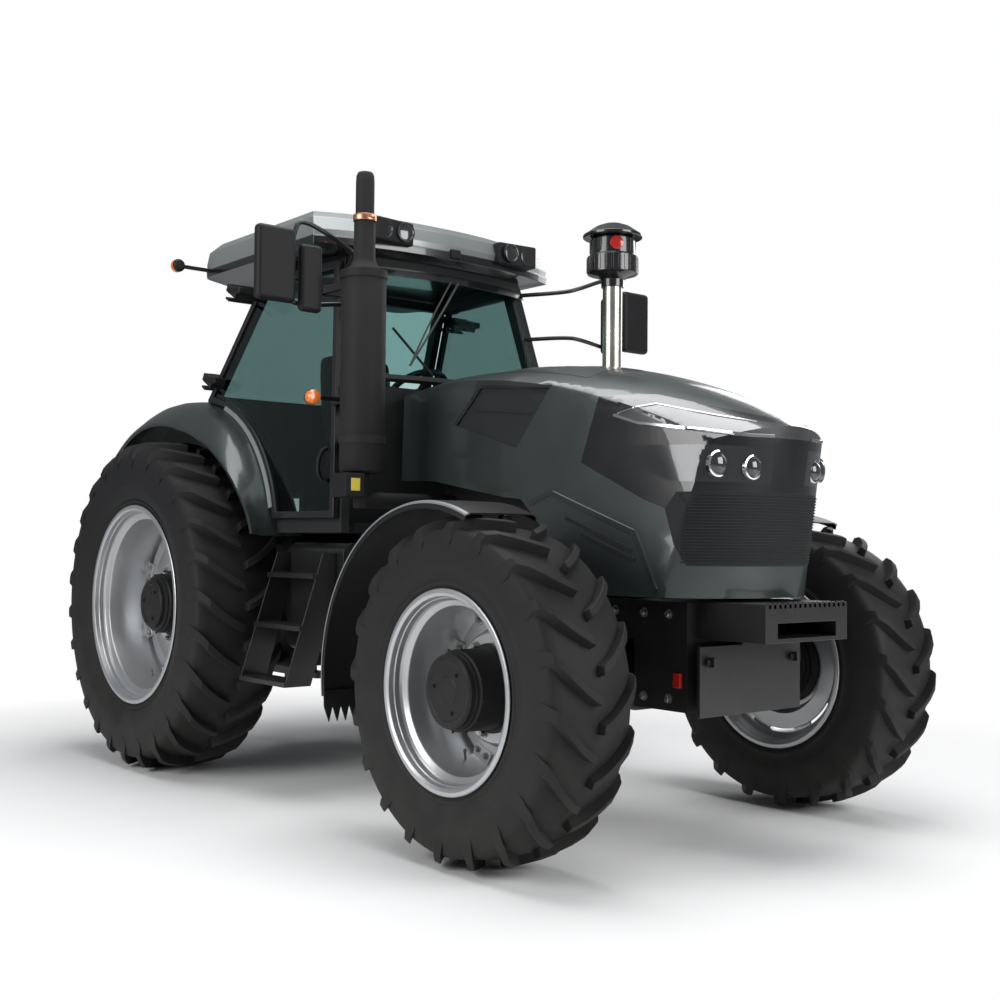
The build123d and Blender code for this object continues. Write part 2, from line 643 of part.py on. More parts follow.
def build_cab_frame():
    """Hollow cab body: side frames, floor, bulkhead, rear wall, roof beams and hinge ears."""
    inner = CAB_SIDE_Y - CAB_POST
    with BuildPart() as cab:
        for side in (-1, 1):
            start = inner if side > 0 else -CAB_SIDE_Y
            with BuildSketch(Plane(origin=(0, start + CAB_POST, 0), x_dir=(1, 0, 0), z_dir=(0, -1, 0))):
                add(side_outline(0, CAB_TOP_Z, CAB_FLOOR_Z, 0, FENDER_RADIUS + TOUCH))
                add(side_outline(-60, 2735, CAB_FLOOR_Z + FLOOR_THICK + 45, 55, FENDER_RADIUS + 45),
                    mode=Mode.SUBTRACT)
            extrude(amount=CAB_POST)
        block(960, pillar_x(CAB_FLOOR_Z) - 5, -inner, inner, CAB_FLOOR_Z, CAB_FLOOR_Z + FLOOR_THICK)
        block(920, 960, -699.7, 699.7, CAB_FLOOR_Z, PLATFORM_Z + 50)
        block(REAR_LOW[0], 960, -699.7, 699.7, PLATFORM_Z, PLATFORM_Z + 50)
        block(REAR_LOW[0], REAR_LOW[0] + 40, -699.7, 699.7, PLATFORM_Z, 2120)
        block(1345, 1385, -inner, inner, CAB_FLOOR_Z, 2145)
        with BuildSketch(side_plane(inner)):
            Polygon(*fore_points([(1345, 2125), (pillar_x(2125), 2125), (pillar_x(2145), 2145), (1345, 2145)]),
                    align=None)
            Polygon(*fore_points([(pillar_x(2755) - 50, 2755), (pillar_x(2755), 2755), PILLAR_HIGH,
                                  (PILLAR_HIGH[0] - 50, CAB_TOP_Z)]), align=None)
            Polygon(*fore_points([(405, 2755), (455, 2755), (480, CAB_TOP_Z), REAR_HIGH]), align=None)
            Polygon(*fore_points([REAR_LOW, (REAR_LOW[0] + 60, 2100), (REAR_LOW[0] + 77, 2130),
                                  (REAR_LOW[0] + 17.1, 2130)]), align=None)
        extrude(amount=2 * inner)
        add(door_hinge_ears())
        add(mirrored(door_hinge_ears()))
        for side in (-1, 1):
            arm_y = side * (HOOD_LUG_Y + HOOD_LUG_THICK + SIDE_PLAY)
            with BuildSketch(side_plane(arm_y + HOOD_LUG_THICK / 2)) as arm:
                with Locations((fore(HOOD_HINGE_FORE), HOOD_HINGE_Z)):
                    Circle(HOOD_LUG_RADIUS)
                Polygon(*fore_points([(1380, HOOD_HINGE_Z - 70), (1380, HOOD_HINGE_Z - 10),
                                      (HOOD_HINGE_FORE, HOOD_HINGE_Z - 10),
                                      (HOOD_HINGE_FORE, HOOD_HINGE_Z - HOOD_LUG_RADIUS)]), align=None)
            extrude(arm.sketch, amount=HOOD_LUG_THICK)
            low, high = sorted((arm_y, side * (HOOD_LUG_Y - HOOD_LUG_THICK)))
            cross_bar(HOOD_HINGE_FORE, HOOD_HINGE_Z, HOOD_PIN, low, high)
    return cab.part


save(build_cab_frame(), "cab_frame")


def window_outline():
    with BuildSketch() as window:
        add(side_outline(**DOOR_SHAPE))
        offset(amount=-DOOR_FRAME, kind=Kind.INTERSECTION)
    return window.sketch


def build_door():
    """Left door: frame round the window, two hinge barrels and a grab handle."""
    with BuildPart() as door:
        with BuildSketch(side_plane(DOOR_OUTER_Y)):
            add(side_outline(**DOOR_SHAPE))
            add(window_outline(), mode=Mode.SUBTRACT)
        extrude(amount=DOOR_THICK)
        reach = HINGE_Y - DOOR_OUTER_Y
        for z in HINGE_HEIGHTS:
            with BuildSketch(hinge_plane(z).offset(-25)):
                Circle(16)
                with Locations((34, -reach - 4)):
                    Rectangle(52, 2 * reach - 8)
            extrude(amount=50)
            with BuildSketch(hinge_plane(z).offset(-25)):
                Circle(HINGE_PIN + FIT)
            extrude(amount=50, mode=Mode.SUBTRACT)
        block(1395, 1425, DOOR_OUTER_Y, DOOR_OUTER_Y + 22, 1560, 1700)
    return door.part


def build_door_glass():
    with BuildPart() as pane:
        with BuildSketch(side_plane((DOOR_INNER_Y + DOOR_OUTER_Y) / 2)):
            add(window_outline())
        extrude(amount=GLASS_THICK)
    return pane.part


def build_cab_glass():
    """Windscreen and rear window between the side frames."""
    inner = CAB_SIDE_Y - CAB_POST
    with BuildPart() as glass:
        for low, high in (((pillar_x(2145), 2145), (pillar_x(2755), 2755)),
                          ((REAR_LOW[0] + 17.1, 2130), (405, 2755))):
            step = GLASS_THICK if low[0] < 500 else -GLASS_THICK
            with BuildSketch(side_plane(inner)):
                Polygon(*fore_points([low, high, (high[0] + step, high[1]), (low[0] + step, low[1])]),
                        align=None)
            extrude(amount=2 * inner)
    return glass.part


ROOF_REAR_FORE = -20
ROOF_FRONT_FORE = 1360
ROOF_HALF = 855
ROOF_TOP_Z = 3025
ROOF_CORNER = 150


def build_roof():
    with BuildPart() as roof:
        with BuildSketch(Plane.XY.offset(CAB_TOP_Z)):
            with Locations((fore((ROOF_REAR_FORE + ROOF_FRONT_FORE) / 2), 0)):
                RectangleRounded(ROOF_FRONT_FORE - ROOF_REAR_FORE, 2 * ROOF_HALF, ROOF_CORNER)
        extrude(amount=ROOF_TOP_Z - CAB_TOP_Z)
        fillet(roof.faces().sort_by(Axis.Z)[-1].edges(), 70)
        chamfer(roof.faces().sort_by(Axis.Z)[0].edges(), 25)
    return roof.part


def build_seat():
    floor = PLATFORM_Z + 50
    with BuildPart() as seat:
        block(470, 800, -180, 180, floor, 1840)
        block(370, 860, -245, 245, 1840, 1950)
        block(330, 440, -235, 235, 1900, 2500)
    return seat.part


WHEEL_GRIP_RADIUS = 200


def build_console():
    """Dashboard tower with the steering column and steering wheel."""
    floor = CAB_FLOOR_Z + FLOOR_THICK
    with BuildPart() as console:
        with BuildSketch(side_plane(150)):
            Polygon(*fore_points([(1130, floor), (1330, floor), (1330, 2060), (1180, 2100), (1080, 1990),
                                  (1150, 1900)]), align=None)
        extrude(amount=300)
        tilt = Plane(origin=(fore(1125), 0, 1995), x_dir=(0.75, 0, 0.66), z_dir=(-0.66, 0, 0.75))
        with BuildSketch(tilt):
            Circle(28)
        extrude(amount=160)
        with BuildSketch(tilt.offset(150)):
            Circle(WHEEL_GRIP_RADIUS)
            Circle(WHEEL_GRIP_RADIUS - 28, mode=Mode.SUBTRACT)
            with PolarLocations(WHEEL_GRIP_RADIUS / 2, 3):
                Rectangle(WHEEL_GRIP_RADIUS - 20, 34)
            Circle(50)
        extrude(amount=24)
    return console.part


FENDER_FRONT_ANGLE = 18
FENDER_SPAN = 132
WHEELHOUSE_WALL = 12


def build_fender():
    """Left rear fender: arc shell over the tyre and the wheelhouse wall beside the cab."""
    centre = (fore(-FENDER_CENTRE_BACK), FENDER_INNER_Y, FENDER_CENTRE_Z)
    plane = Plane(origin=centre, x_dir=(1, 0, 0), z_dir=(0, -1, 0))
    with BuildPart() as fender:
        with BuildSketch(plane):
            with BuildLine():
                outer = CenterArc((0, 0), FENDER_RADIUS, FENDER_FRONT_ANGLE, FENDER_SPAN)
                inner = CenterArc((0, 0), FENDER_RADIUS - FENDER_WALL, FENDER_FRONT_ANGLE, FENDER_SPAN)
                Line(outer @ 0, inner @ 0)
                Line(outer @ 1, inner @ 1)
            make_face()
        extrude(amount=-(FENDER_OUTER_Y - FENDER_INNER_Y))
        with BuildSketch(plane):
            with BuildLine():
                rim = CenterArc((0, 0), FENDER_RADIUS - 1, FENDER_FRONT_ANGLE, FENDER_SPAN)
                Line(rim @ 0, rim @ 1)
            make_face()
        extrude(amount=-WHEELHOUSE_WALL)
    return fender.part


save_pair(build_door(), "door")
save_pair(build_door_glass(), "door_glass")
save(build_cab_glass(), "cab_glass")
save(build_roof(), "roof")
save(build_seat(), "seat")
save(build_console(), "steering_console")
save_both(build_fender(), "rear_fenders")


# ---------------------------------------------------------------- hood
# distance ahead of the rear axle, half width low and high, height of the shoulder and the crown
HOOD_SECTIONS = [
    (1455, 425, 398, 2045, 2108),
    (2200, 465, 425, 2060, 2165),
    (2850, 470, 425, 1945, 2075),
    (3300, 458, 390, 1800, 1940),
    (3720, 440, 330, 1590, 1735),
]
HOOD_LOW_Z = 1070
NOSE_FORE = 3606
NOSE_Z = 1430
NOSE_RADIUS = 550
NOSE_HALF = 440
NOSE_LEAN = 0.14


def hood_volume(inset):
    """The closed space inside the hood's skin, moved in by a wall thickness."""
    low_z = HOOD_LOW_Z - (30 if inset else 0)
    with BuildPart() as volume:
        for x, half_low, half_high, shoulder, crown in HOOD_SECTIONS:
            with BuildSketch(Plane(origin=(fore(x), 0, 0), x_dir=(0, 1, 0), z_dir=(1, 0, 0))):
                low = half_low - inset
                high = half_high - inset
                with BuildLine():
                    Polyline((-high, shoulder - inset), (-low, low_z), (low, low_z), (high, shoulder - inset))
                    ThreePointArc((high, shoulder - inset), (0, crown - inset), (-high, shoulder - inset))
                make_face()
        loft()
        nose = NOSE_FORE - inset
        corner_x = nose - NOSE_RADIUS + math.sqrt(NOSE_RADIUS ** 2 - NOSE_HALF ** 2)
        lift = 700
        lean = NOSE_LEAN * lift
        with BuildSketch(Plane.XY.offset(NOSE_Z - lift)) as plan:
            with BuildLine():
                Polyline((fore(corner_x - lean), NOSE_HALF), (fore(2950 - lean), 600), (fore(1000 - lean), 600),
                         (fore(1000 - lean), -600), (fore(2950 - lean), -600),
                         (fore(corner_x - lean), -NOSE_HALF))
                ThreePointArc((fore(corner_x - lean), -NOSE_HALF), (fore(nose - lean), 0),
                              (fore(corner_x - lean), NOSE_HALF))
            make_face()
        extrude(plan.sketch, amount=2 * lift, dir=(NOSE_LEAN, 0, 1), mode=Mode.INTERSECT)
    return volume.part


def region(points, y_low=-600, y_high=600):
    """Prism across the machine over an outline of (ahead, height) points."""
    with BuildPart() as prism:
        with BuildSketch(side_plane(y_high)):
            Polygon(*fore_points(points), align=None)
        extrude(amount=y_high - y_low)
    return prism.part


BELOW_HOOD = [(1300, 900), (1300, 1612), (1756, 1593), (2328, 1500), (2456, 1488), (2974, 1040), (2974, 900)]
CHEEK = [(2456, 1488), (2627, 1547), (3207, 1345), (3367, 1071), (3367, 1000), (2974, 1000), (2974, 1040)]
MASK = [(2930, 1925), (2840, 1640), (3210, 1470), (3318, 1434), (3410, 1200), (3800, 1200), (3800, 1750),
        (3400, 1860), (3150, 1925)]
GRILLE = [(3318, 1434), (3410, 1200), (3800, 1200), (3800, 1500), (3370, 1500)]
BLADE = [(3020, 1836), (3200, 1880), (3450, 1820), (3800, 1745), (3800, 1700), (3450, 1745), (3150, 1790)]
POD = [(3105, 1700), (3450, 1690), (3800, 1670), (3800, 1530), (3330, 1545), (3180, 1610)]
VENT = [(1928, 1862), (2125, 2030), (2624, 1988), (2411, 1724)]
POD_GAP_HALF = 110
VENT_DEPTH = 14

hood_skin = hood_volume(0) - hood_volume(HOOD_WALL)
hood_lining = hood_volume(HOOD_WALL) - hood_volume(HOOD_WALL + 8)
lamp_skin = hood_volume(0) - hood_volume(40)
pods = region(POD, POD_GAP_HALF, 600) + region(POD, -600, -POD_GAP_HALF)
lamps_region = region(BLADE) + pods



def build_hood_lugs():
    """Two lugs that hang from the hood's skin, bored for the hinge pins."""
    centre = (fore(HOOD_HINGE_FORE), HOOD_HINGE_Z)
    with BuildPart() as lugs:
        for side in (-1, 1):
            with BuildSketch(side_plane(side * HOOD_LUG_Y + HOOD_LUG_THICK / 2)) as profile:
                with Locations(centre):
                    Circle(HOOD_LUG_RADIUS)
                with Locations((centre[0], centre[1] + 50)):
                    Rectangle(2 * HOOD_LUG_RADIUS, 100)
                with Locations(centre):
                    Circle(HOOD_PIN + FIT, mode=Mode.SUBTRACT)
            extrude(profile.sketch, amount=HOOD_LUG_THICK)
    return lugs.part & hood_volume(HOOD_WALL / 2)


hood = hood_skin - region(BELOW_HOOD) - region(CHEEK) - region(MASK) - region(VENT) + build_hood_lugs()
hood_cheeks = hood_skin & region(CHEEK)
front_mask = (hood_skin & region(MASK)) - lamps_region - region(GRILLE)
grille = hood_skin & region(GRILLE)
headlamps = lamp_skin & lamps_region
hood_vents = hood_lining & region([(1900, 1862), (2115, 2045), (2655, 2000), (2420, 1700)])
for part, name in ((hood, "hood"), (hood_cheeks, "hood_cheeks"), (front_mask, "front_mask"),
                   (grille, "grille"), (headlamps, "headlamps"), (hood_vents, "hood_vents")):
    save(part, name)


# ---------------------------------------------------------------- exhaust and intake
MUFFLER_FORE = 1660
MUFFLER_Y = 800
MUFFLER_RADIUS = 110
MUFFLER_LOW_Z = 1620
MUFFLER_TOP_Z = 2600
EXHAUST_TOP_Z = 3100
EXHAUST_PIPE = 43
INTAKE_FORE = 2200
INTAKE_Y = 380
INTAKE_TOP_Z = 2950


def turned(x, y, profile):
    """Round upright body from (radius, height) points."""
    with BuildPart() as body:
        with BuildSketch(Plane(origin=(fore(x), y, 0), x_dir=(1, 0, 0), z_dir=(0, -1, 0))):
            Polygon(*profile, align=None)
        revolve(axis=Axis((fore(x), y, 0), (0, 0, 1)))
    return body.part


def build_exhaust():
    """Upright muffler, tail pipe, lower pipe to the engine and two clamps to the cab pillar."""
    profile = [(0, MUFFLER_LOW_Z), (MUFFLER_RADIUS - 6, MUFFLER_LOW_Z), (MUFFLER_RADIUS, MUFFLER_LOW_Z + 10),
               (MUFFLER_RADIUS, MUFFLER_TOP_Z), (55, MUFFLER_TOP_Z + 55), (48, MUFFLER_TOP_Z + 60),
               (48, 2855), (EXHAUST_PIPE, 2860), (EXHAUST_PIPE, EXHAUST_TOP_Z), (0, EXHAUST_TOP_Z)]
    with BuildPart() as exhaust:
        add(turned(MUFFLER_FORE, -MUFFLER_Y, profile))
        add(turned(MUFFLER_FORE, -MUFFLER_Y, [(0, 1450), (40, 1450), (40, 1640), (0, 1640)]))
        with BuildSketch(Plane(origin=(fore(MUFFLER_FORE), -MUFFLER_Y, 1490), x_dir=(1, 0, 0), z_dir=(0, 1, 0))):
            Circle(40)
        extrude(amount=MUFFLER_Y - ENGINE_HALF)
        for z in (1760, 2570):
            with BuildSketch(side_plane(-730)):
                Polygon(*fore_points([(pillar_x(z) + TOUCH, z), (1600, z), (1600, z + 40),
                                      (pillar_x(z + 40) + TOUCH, z + 40)]), align=None)
            extrude(amount=30)
        with BuildSketch(Plane.XY.offset(EXHAUST_TOP_Z)):
            with Locations((fore(MUFFLER_FORE), -MUFFLER_Y)):
                Circle(EXHAUST_PIPE - 4)
        extrude(amount=-200, mode=Mode.SUBTRACT)
    return exhaust.part


save(build_exhaust(), "exhaust")
intake_profile = [(0, 1900), (59, 1900), (59, 2700), (90, 2715), (135, 2725), (135, 2850), (110, 2856),
                  (110, 2866), (155, 2870), (155, 2885), (120, 2930), (60, INTAKE_TOP_Z), (0, INTAKE_TOP_Z)]
intake = turned(INTAKE_FORE, INTAKE_Y, intake_profile) - hood_volume(0)
save(intake, "intake_stack")


# ---------------------------------------------------------------- lamps and mirrors
FRONT_LAMP_FORE = 1500
REAR_LAMP_FORE = 50
LAMP_ARM_HALF = 12
MIRROR_TUBE_RADIUS = 12


def build_work_lamps():
    """Left roof housing with its two round lamps."""
    with BuildPart() as lamps:
        block(ROOF_FRONT_FORE, ROOF_FRONT_FORE + 45, 300, 540, 2865, 2985)
        for y in (362, 478):
            with BuildSketch(Plane(origin=(fore(ROOF_FRONT_FORE + 45), y, 2925), x_dir=(0, 1, 0), z_dir=(1, 0, 0))):
                Circle(42)
            extrude(amount=12)
    return lamps.part


def build_signal_lamps():
    """Left turn lamps on their arms, front pillar and rear roof corner."""
    with BuildPart() as lamps:
        with BuildSketch(Plane(origin=(fore(FRONT_LAMP_FORE), 980, 1993), x_dir=(0, 1, 0), z_dir=(1, 0, 0))):
            Circle(38)
        extrude(amount=35, both=True)
        block(FRONT_LAMP_FORE - LAMP_ARM_HALF, FRONT_LAMP_FORE + LAMP_ARM_HALF, 740, 960, 1981, 2005)
        block(pillar_x(1981) + TOUCH, FRONT_LAMP_FORE, 740, 764, 1981, 2005)
        with BuildSketch(Plane(origin=(fore(REAR_LAMP_FORE), 1010, 2870), x_dir=(0, 1, 0), z_dir=(1, 0, 0))):
            Circle(38)
        extrude(amount=35, both=True)
        corner_run = ROOF_REAR_FORE + ROOF_CORNER - REAR_LAMP_FORE - LAMP_ARM_HALF
        arm_root = ROOF_HALF - ROOF_CORNER + math.sqrt(ROOF_CORNER ** 2 - corner_run ** 2) + TOUCH
        block(REAR_LAMP_FORE - LAMP_ARM_HALF, REAR_LAMP_FORE + LAMP_ARM_HALF, arm_root, 990, 2858, 2882)
    return lamps.part


def build_mirrors():
    """Left mirror frame: bent tube from the pillar with a large and a small mirror housing."""
    x = 1500
    high, low = 2740, 2480
    high_root = pillar_x(high - MIRROR_TUBE_RADIUS) + TOUCH
    low_root = pillar_x(low - MIRROR_TUBE_RADIUS) + TOUCH
    path_points = [(high_root, 750, high), (x, 750, high), (x, 1090, 2880), (x, 1150, 2420), (x, 750, low),
                   (low_root, 750, low)]
    with BuildPart() as mirrors:
        with BuildLine() as path:
            FilletPolyline(*[(fore(a), b, c) for a, b, c in path_points], radius=40)
        with BuildSketch(Plane(origin=path.line @ 0, z_dir=path.line % 0)):
            Circle(MIRROR_TUBE_RADIUS)
        sweep(path=path.line)
        block(x + 4, x + 64, 1115, 1325, 2430, 2790)
        block(x + 4, x + 54, 960, 1085, 2400, 2730)
    return mirrors.part


save_both(build_work_lamps(), "work_lamps")
save_both(build_signal_lamps(), "signal_lamps")
save_both(build_mirrors(), "mirrors")


# ---------------------------------------------------------------- three-point linkage
LIFT_END_BACK = LINK_PIVOT_BACK + LIFT_ARM_LENGTH
ROD_THICK = 24


def link(x_start, x_end, z, y, thick, width, hole_start, hole_end):
    """Flat link between two eyes, both bored across the machine."""
    with BuildSketch(side_plane(y + thick / 2)) as profile:
        for x in (x_start, x_end):
            with Locations((fore(x), z)):
                Circle(width)
        with Locations((fore((x_start + x_end) / 2), z)):
            Rectangle(abs(x_end - x_start), 1.5 * width)
        for x, hole in ((x_start, hole_start), (x_end, hole_end)):
            with Locations((fore(x), z)):
                Circle(hole, mode=Mode.SUBTRACT)
    extrude(profile.sketch, amount=thick)


def build_lift_arms():
    with BuildPart() as arms:
        for side in (-1, 1):
            link(-LINK_PIVOT_BACK, -LIFT_END_BACK, LIFT_ARM_Z, side * LINK_ARM_Y, LINK_THICK, 62, LINK_PIN + 13 + FIT,
                 LINK_PIN - 8 + FIT)
    return arms.part


def build_lower_links():
    with BuildPart() as links:
        for side in (-1, 1):
            y = side * LINK_ARM_Y
            link(-LINK_PIVOT_BACK, -LINK_PIVOT_BACK - LOWER_LINK_LENGTH, LOWER_LINK_Z, y, LINK_THICK, 46, LINK_PIN + FIT,
                 BALL_BORE)
            with BuildSketch(side_plane(y + LINK_THICK / 2)):
                with Locations((fore(-LIFT_END_BACK), LOWER_LINK_Z)):
                    Circle(LINK_PIN - 8 + FIT)
            extrude(amount=LINK_THICK, mode=Mode.SUBTRACT)
    return links.part


def build_lift_rods():
    """Upright rods joining the lift arms to the lower links, each with its two pins."""
    with BuildPart() as rods:
        for side in (-1, 1):
            plate_y = side * (LINK_ARM_Y + LINK_THICK / 2 + 2 + ROD_THICK / 2)
            with BuildSketch(side_plane(plate_y + ROD_THICK / 2)):
                for z in (LOWER_LINK_Z, LIFT_ARM_Z):
                    with Locations((fore(-LIFT_END_BACK), z)):
                        Circle(34)
                with Locations((fore(-LIFT_END_BACK), (LOWER_LINK_Z + LIFT_ARM_Z) / 2)):
                    Rectangle(44, LIFT_ARM_Z - LOWER_LINK_Z)
            extrude(amount=ROD_THICK)
            low, high = sorted((side * (LINK_ARM_Y - LINK_THICK / 2), plate_y))
            for z in (LOWER_LINK_Z, LIFT_ARM_Z):
                cross_bar(-LIFT_END_BACK, z, LINK_PIN - 8, low, high)
    return rods.part


save(build_lift_arms(), "lift_arms")
save(build_lower_links(), "lower_links")
save(build_lift_rods(), "lift_rods")
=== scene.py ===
"""Looks of a farm tractor, laid out as an add-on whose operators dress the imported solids."""
import json
import math

import bmesh
import bpy
from mathutils import Matrix, Vector
from mathutils.bvhtree import BVHTree


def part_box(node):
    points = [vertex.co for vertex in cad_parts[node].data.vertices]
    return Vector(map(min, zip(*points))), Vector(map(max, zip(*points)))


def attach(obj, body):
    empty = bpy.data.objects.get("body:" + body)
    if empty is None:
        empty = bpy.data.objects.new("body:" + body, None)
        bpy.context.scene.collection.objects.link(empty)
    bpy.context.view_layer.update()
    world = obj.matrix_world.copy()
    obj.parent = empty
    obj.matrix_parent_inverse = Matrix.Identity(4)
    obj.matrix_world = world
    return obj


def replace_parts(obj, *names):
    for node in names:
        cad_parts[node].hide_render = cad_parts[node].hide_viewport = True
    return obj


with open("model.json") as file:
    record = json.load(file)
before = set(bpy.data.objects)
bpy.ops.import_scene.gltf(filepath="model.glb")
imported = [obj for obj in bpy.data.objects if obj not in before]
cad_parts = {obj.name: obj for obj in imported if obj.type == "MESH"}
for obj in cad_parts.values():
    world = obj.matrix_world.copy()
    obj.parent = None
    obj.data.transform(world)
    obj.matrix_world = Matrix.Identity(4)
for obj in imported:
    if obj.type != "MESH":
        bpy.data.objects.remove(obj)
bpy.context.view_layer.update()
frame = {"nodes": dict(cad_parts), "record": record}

bl_info = {
    "name": "Farm Tractor Looks",
    "version": (1, 0, 0),
    "blender": (4, 5, 0),
    "location": "3D View > Sidebar > Tractor",
    "description": "Dresses the solids of a farm tractor with paint, rubber, glass and fine detail",
    "category": "Add Mesh",
}

REAR_AXLE_X = -1.230
SIDES = ((1, "left"), (-1, "right"))

# sizes in metres; ahead is counted from the rear axle, half widths from the middle
DOOR_HINGE_FOOT = (0.094, 2.210)        # ahead, height
DOOR_HINGE_RUN = 0.5714                 # how far the hinge line moves ahead for each metre up
DOOR_HINGE_HEIGHTS = (2.210, 2.690)
HOOD_HINGE = (1.500, 2.040)             # ahead, height
FLOOR_LEVEL = 1.330
PLATFORM_LEVEL = 1.550
CAB_TOP = 2.800
HEADER_LEVEL = 2.745
SILL_TOP = 2.150
CAB_INNER = 0.6997                      # half width between the wheelhouse walls
SCREEN_BOW_RADIUS = 2.0
FENDER_CENTRE = (-0.139, 0.962)         # ahead, height
FENDER_START = 18                       # degrees above the level, at the front
FENDER_SPAN = 132
MUDGUARD_BACK = 0.165                   # centre of the mudguard's arc behind the front axle
EXHAUST_PLACE = (1.668, -0.800)         # ahead, to the left
INTAKE_PLACE = (2.200, 0.380)           # ahead, to the left
CLAMP_LEVELS = (1.760, 2.570)
MIRROR_TUBE = 0.012
MIRROR_ROOTS = (2.740, 2.480)           # heights of the tube's two feet on the pillar
WORK_LAMP_LEVEL = 2.924
TURN_LAMPS = ((1.500, 0.980, 1.993), (0.050, 1.010, 2.870))     # ahead, half width, height

# every wheel in metres, measured from its own axle
FRONT_WHEEL = dict(x=1.650, y=1.010, tip=0.700, crown=0.662, shoulder=0.640, tread=0.192, bulge=0.213,
                   bulge_radius=0.545, flange=0.406, seat=0.381, well=0.345, rim_half=0.205, lugs=20,
                   turn=7.5, lug_half=0.026, disc_y=-0.045, disc_radius=0.318, bolts=8, bore=0.060,
                   hub_inner=-0.1097, hub_flange=0.215, hub_barrel=0.165, hub_face=0.185, hub_cap=0.150)
REAR_WHEEL = dict(x=-1.230, y=1.000, tip=0.925, crown=0.880, shoulder=0.850, tread=0.238, bulge=0.262,
                  bulge_radius=0.735, flange=0.559, seat=0.533, well=0.490, rim_half=0.231, lugs=26, turn=6.0,
                  lug_half=0.029, disc_y=-0.020, disc_radius=0.458, bolts=10, bore=0.080, hub_inner=-0.2647,
                  hub_flange=0.230, hub_barrel=0.170, hub_face=0.120, hub_cap=0.140)


def ahead(distance):
    """X of a place that far ahead of the rear axle."""
    return REAR_AXLE_X + distance


# ---------------------------------------------------------------- settings
class PaintSettings(bpy.types.PropertyGroup):
    body: bpy.props.FloatVectorProperty(name="Body paint", description="Colour of hood and fenders",
                                        subtype="COLOR", size=3, default=(0.050, 0.060, 0.059))
    roof: bpy.props.FloatVectorProperty(name="Roof paint", description="Colour of the roof's top",
                                        subtype="COLOR", size=3, default=(0.235, 0.255, 0.255))
    rim: bpy.props.FloatVectorProperty(name="Rim paint", description="Colour of the wheel rims",
                                       subtype="COLOR", size=3, default=(0.50, 0.51, 0.52))
    glass: bpy.props.FloatVectorProperty(name="Cab glass", description="Tint of the cab's glass",
                                         subtype="COLOR", size=3, default=(0.40, 0.56, 0.55))
    dust: bpy.props.FloatProperty(name="Dust", description="How much dry dust lies on low parts",
                                  min=0.0, max=1.0, default=0.18)


class WheelSettings(bpy.types.PropertyGroup):
    lug_edge: bpy.props.FloatProperty(name="Lug edge", description="Rounding of the tread bars' edges",
                                      min=0.0, max=0.01, default=0.004, unit="LENGTH")
    bolt_size: bpy.props.FloatProperty(name="Bolt size", description="Half width of the wheel bolts' heads",
                                       min=0.005, max=0.03, default=0.014, unit="LENGTH")


class TrimSettings(bpy.types.PropertyGroup):
    edge: bpy.props.FloatProperty(name="Edge rounding", description="Rounding of sheet metal edges",
                                  min=0.0, max=0.01, default=0.0025, unit="LENGTH")
    louvre_step: bpy.props.FloatProperty(name="Louvre spacing", min=0.008, max=0.05, default=0.0125,
                                         description="Height from one grille bar to the next", unit="LENGTH")


class StudioSettings(bpy.types.PropertyGroup):
    floor: bpy.props.FloatVectorProperty(name="Floor", description="Colour of the studio floor",
                                         subtype="COLOR", size=3, default=(0.86, 0.86, 0.86))
    lamp: bpy.props.FloatProperty(name="Lamp power", description="Power of the main soft lamp in watts",
                                  min=0.0, max=5000.0, default=330.0)
    sky: bpy.props.FloatProperty(name="Fill light", description="Strength of the even light from all round",
                                 min=0.0, max=2.0, default=0.20)


# ---------------------------------------------------------------- shader groups
def new_group(name, inputs, outputs):
    """Empty shader group with named float inputs and outputs."""
    group = bpy.data.node_groups.new(name, "ShaderNodeTree")
    for label, value in inputs:
        socket = group.interface.new_socket(name=label, in_out="INPUT", socket_type="NodeSocketFloat")
        socket.default_value = value
    for label in outputs:
        group.interface.new_socket(name=label, in_out="OUTPUT", socket_type="NodeSocketFloat")
    return group, group.nodes.new("NodeGroupInput"), group.nodes.new("NodeGroupOutput")


def group_math(group, operation, first, second, clamp=False):
    node = group.nodes.new("ShaderNodeMath")
    node.operation = operation
    node.use_clamp = clamp
    for socket, value in zip(node.inputs, (first, second)):
        if isinstance(value, (int, float)):
            socket.default_value = value
        else:
            group.links.new(value, socket)
    return node.outputs[0]


def grain_group():
    """Fine grain of moulded, cast or painted skins: a height and a broad variation."""
    group, given, out = new_group("Skin Grain", [("Scale", 400.0), ("Broad Scale", 4.0), ("Depth", 1.0)],
                                  ["Height", "Variation"])
    place = group.nodes.new("ShaderNodeTexCoord")
    fine = group.nodes.new("ShaderNodeTexNoise")
    fine.inputs["Detail"].default_value = 4.0
    broad = group.nodes.new("ShaderNodeTexNoise")
    broad.inputs["Detail"].default_value = 3.0
    for node, label in ((fine, "Scale"), (broad, "Broad Scale")):
        group.links.new(place.outputs["Object"], node.inputs["Vector"])
        group.links.new(given.outputs[label], node.inputs["Scale"])
    height = group_math(group, "MULTIPLY", fine.outputs["Fac"], given.outputs["Depth"])
    group.links.new(height, out.inputs["Height"])
    group.links.new(broad.outputs["Fac"], out.inputs["Variation"])
    return group


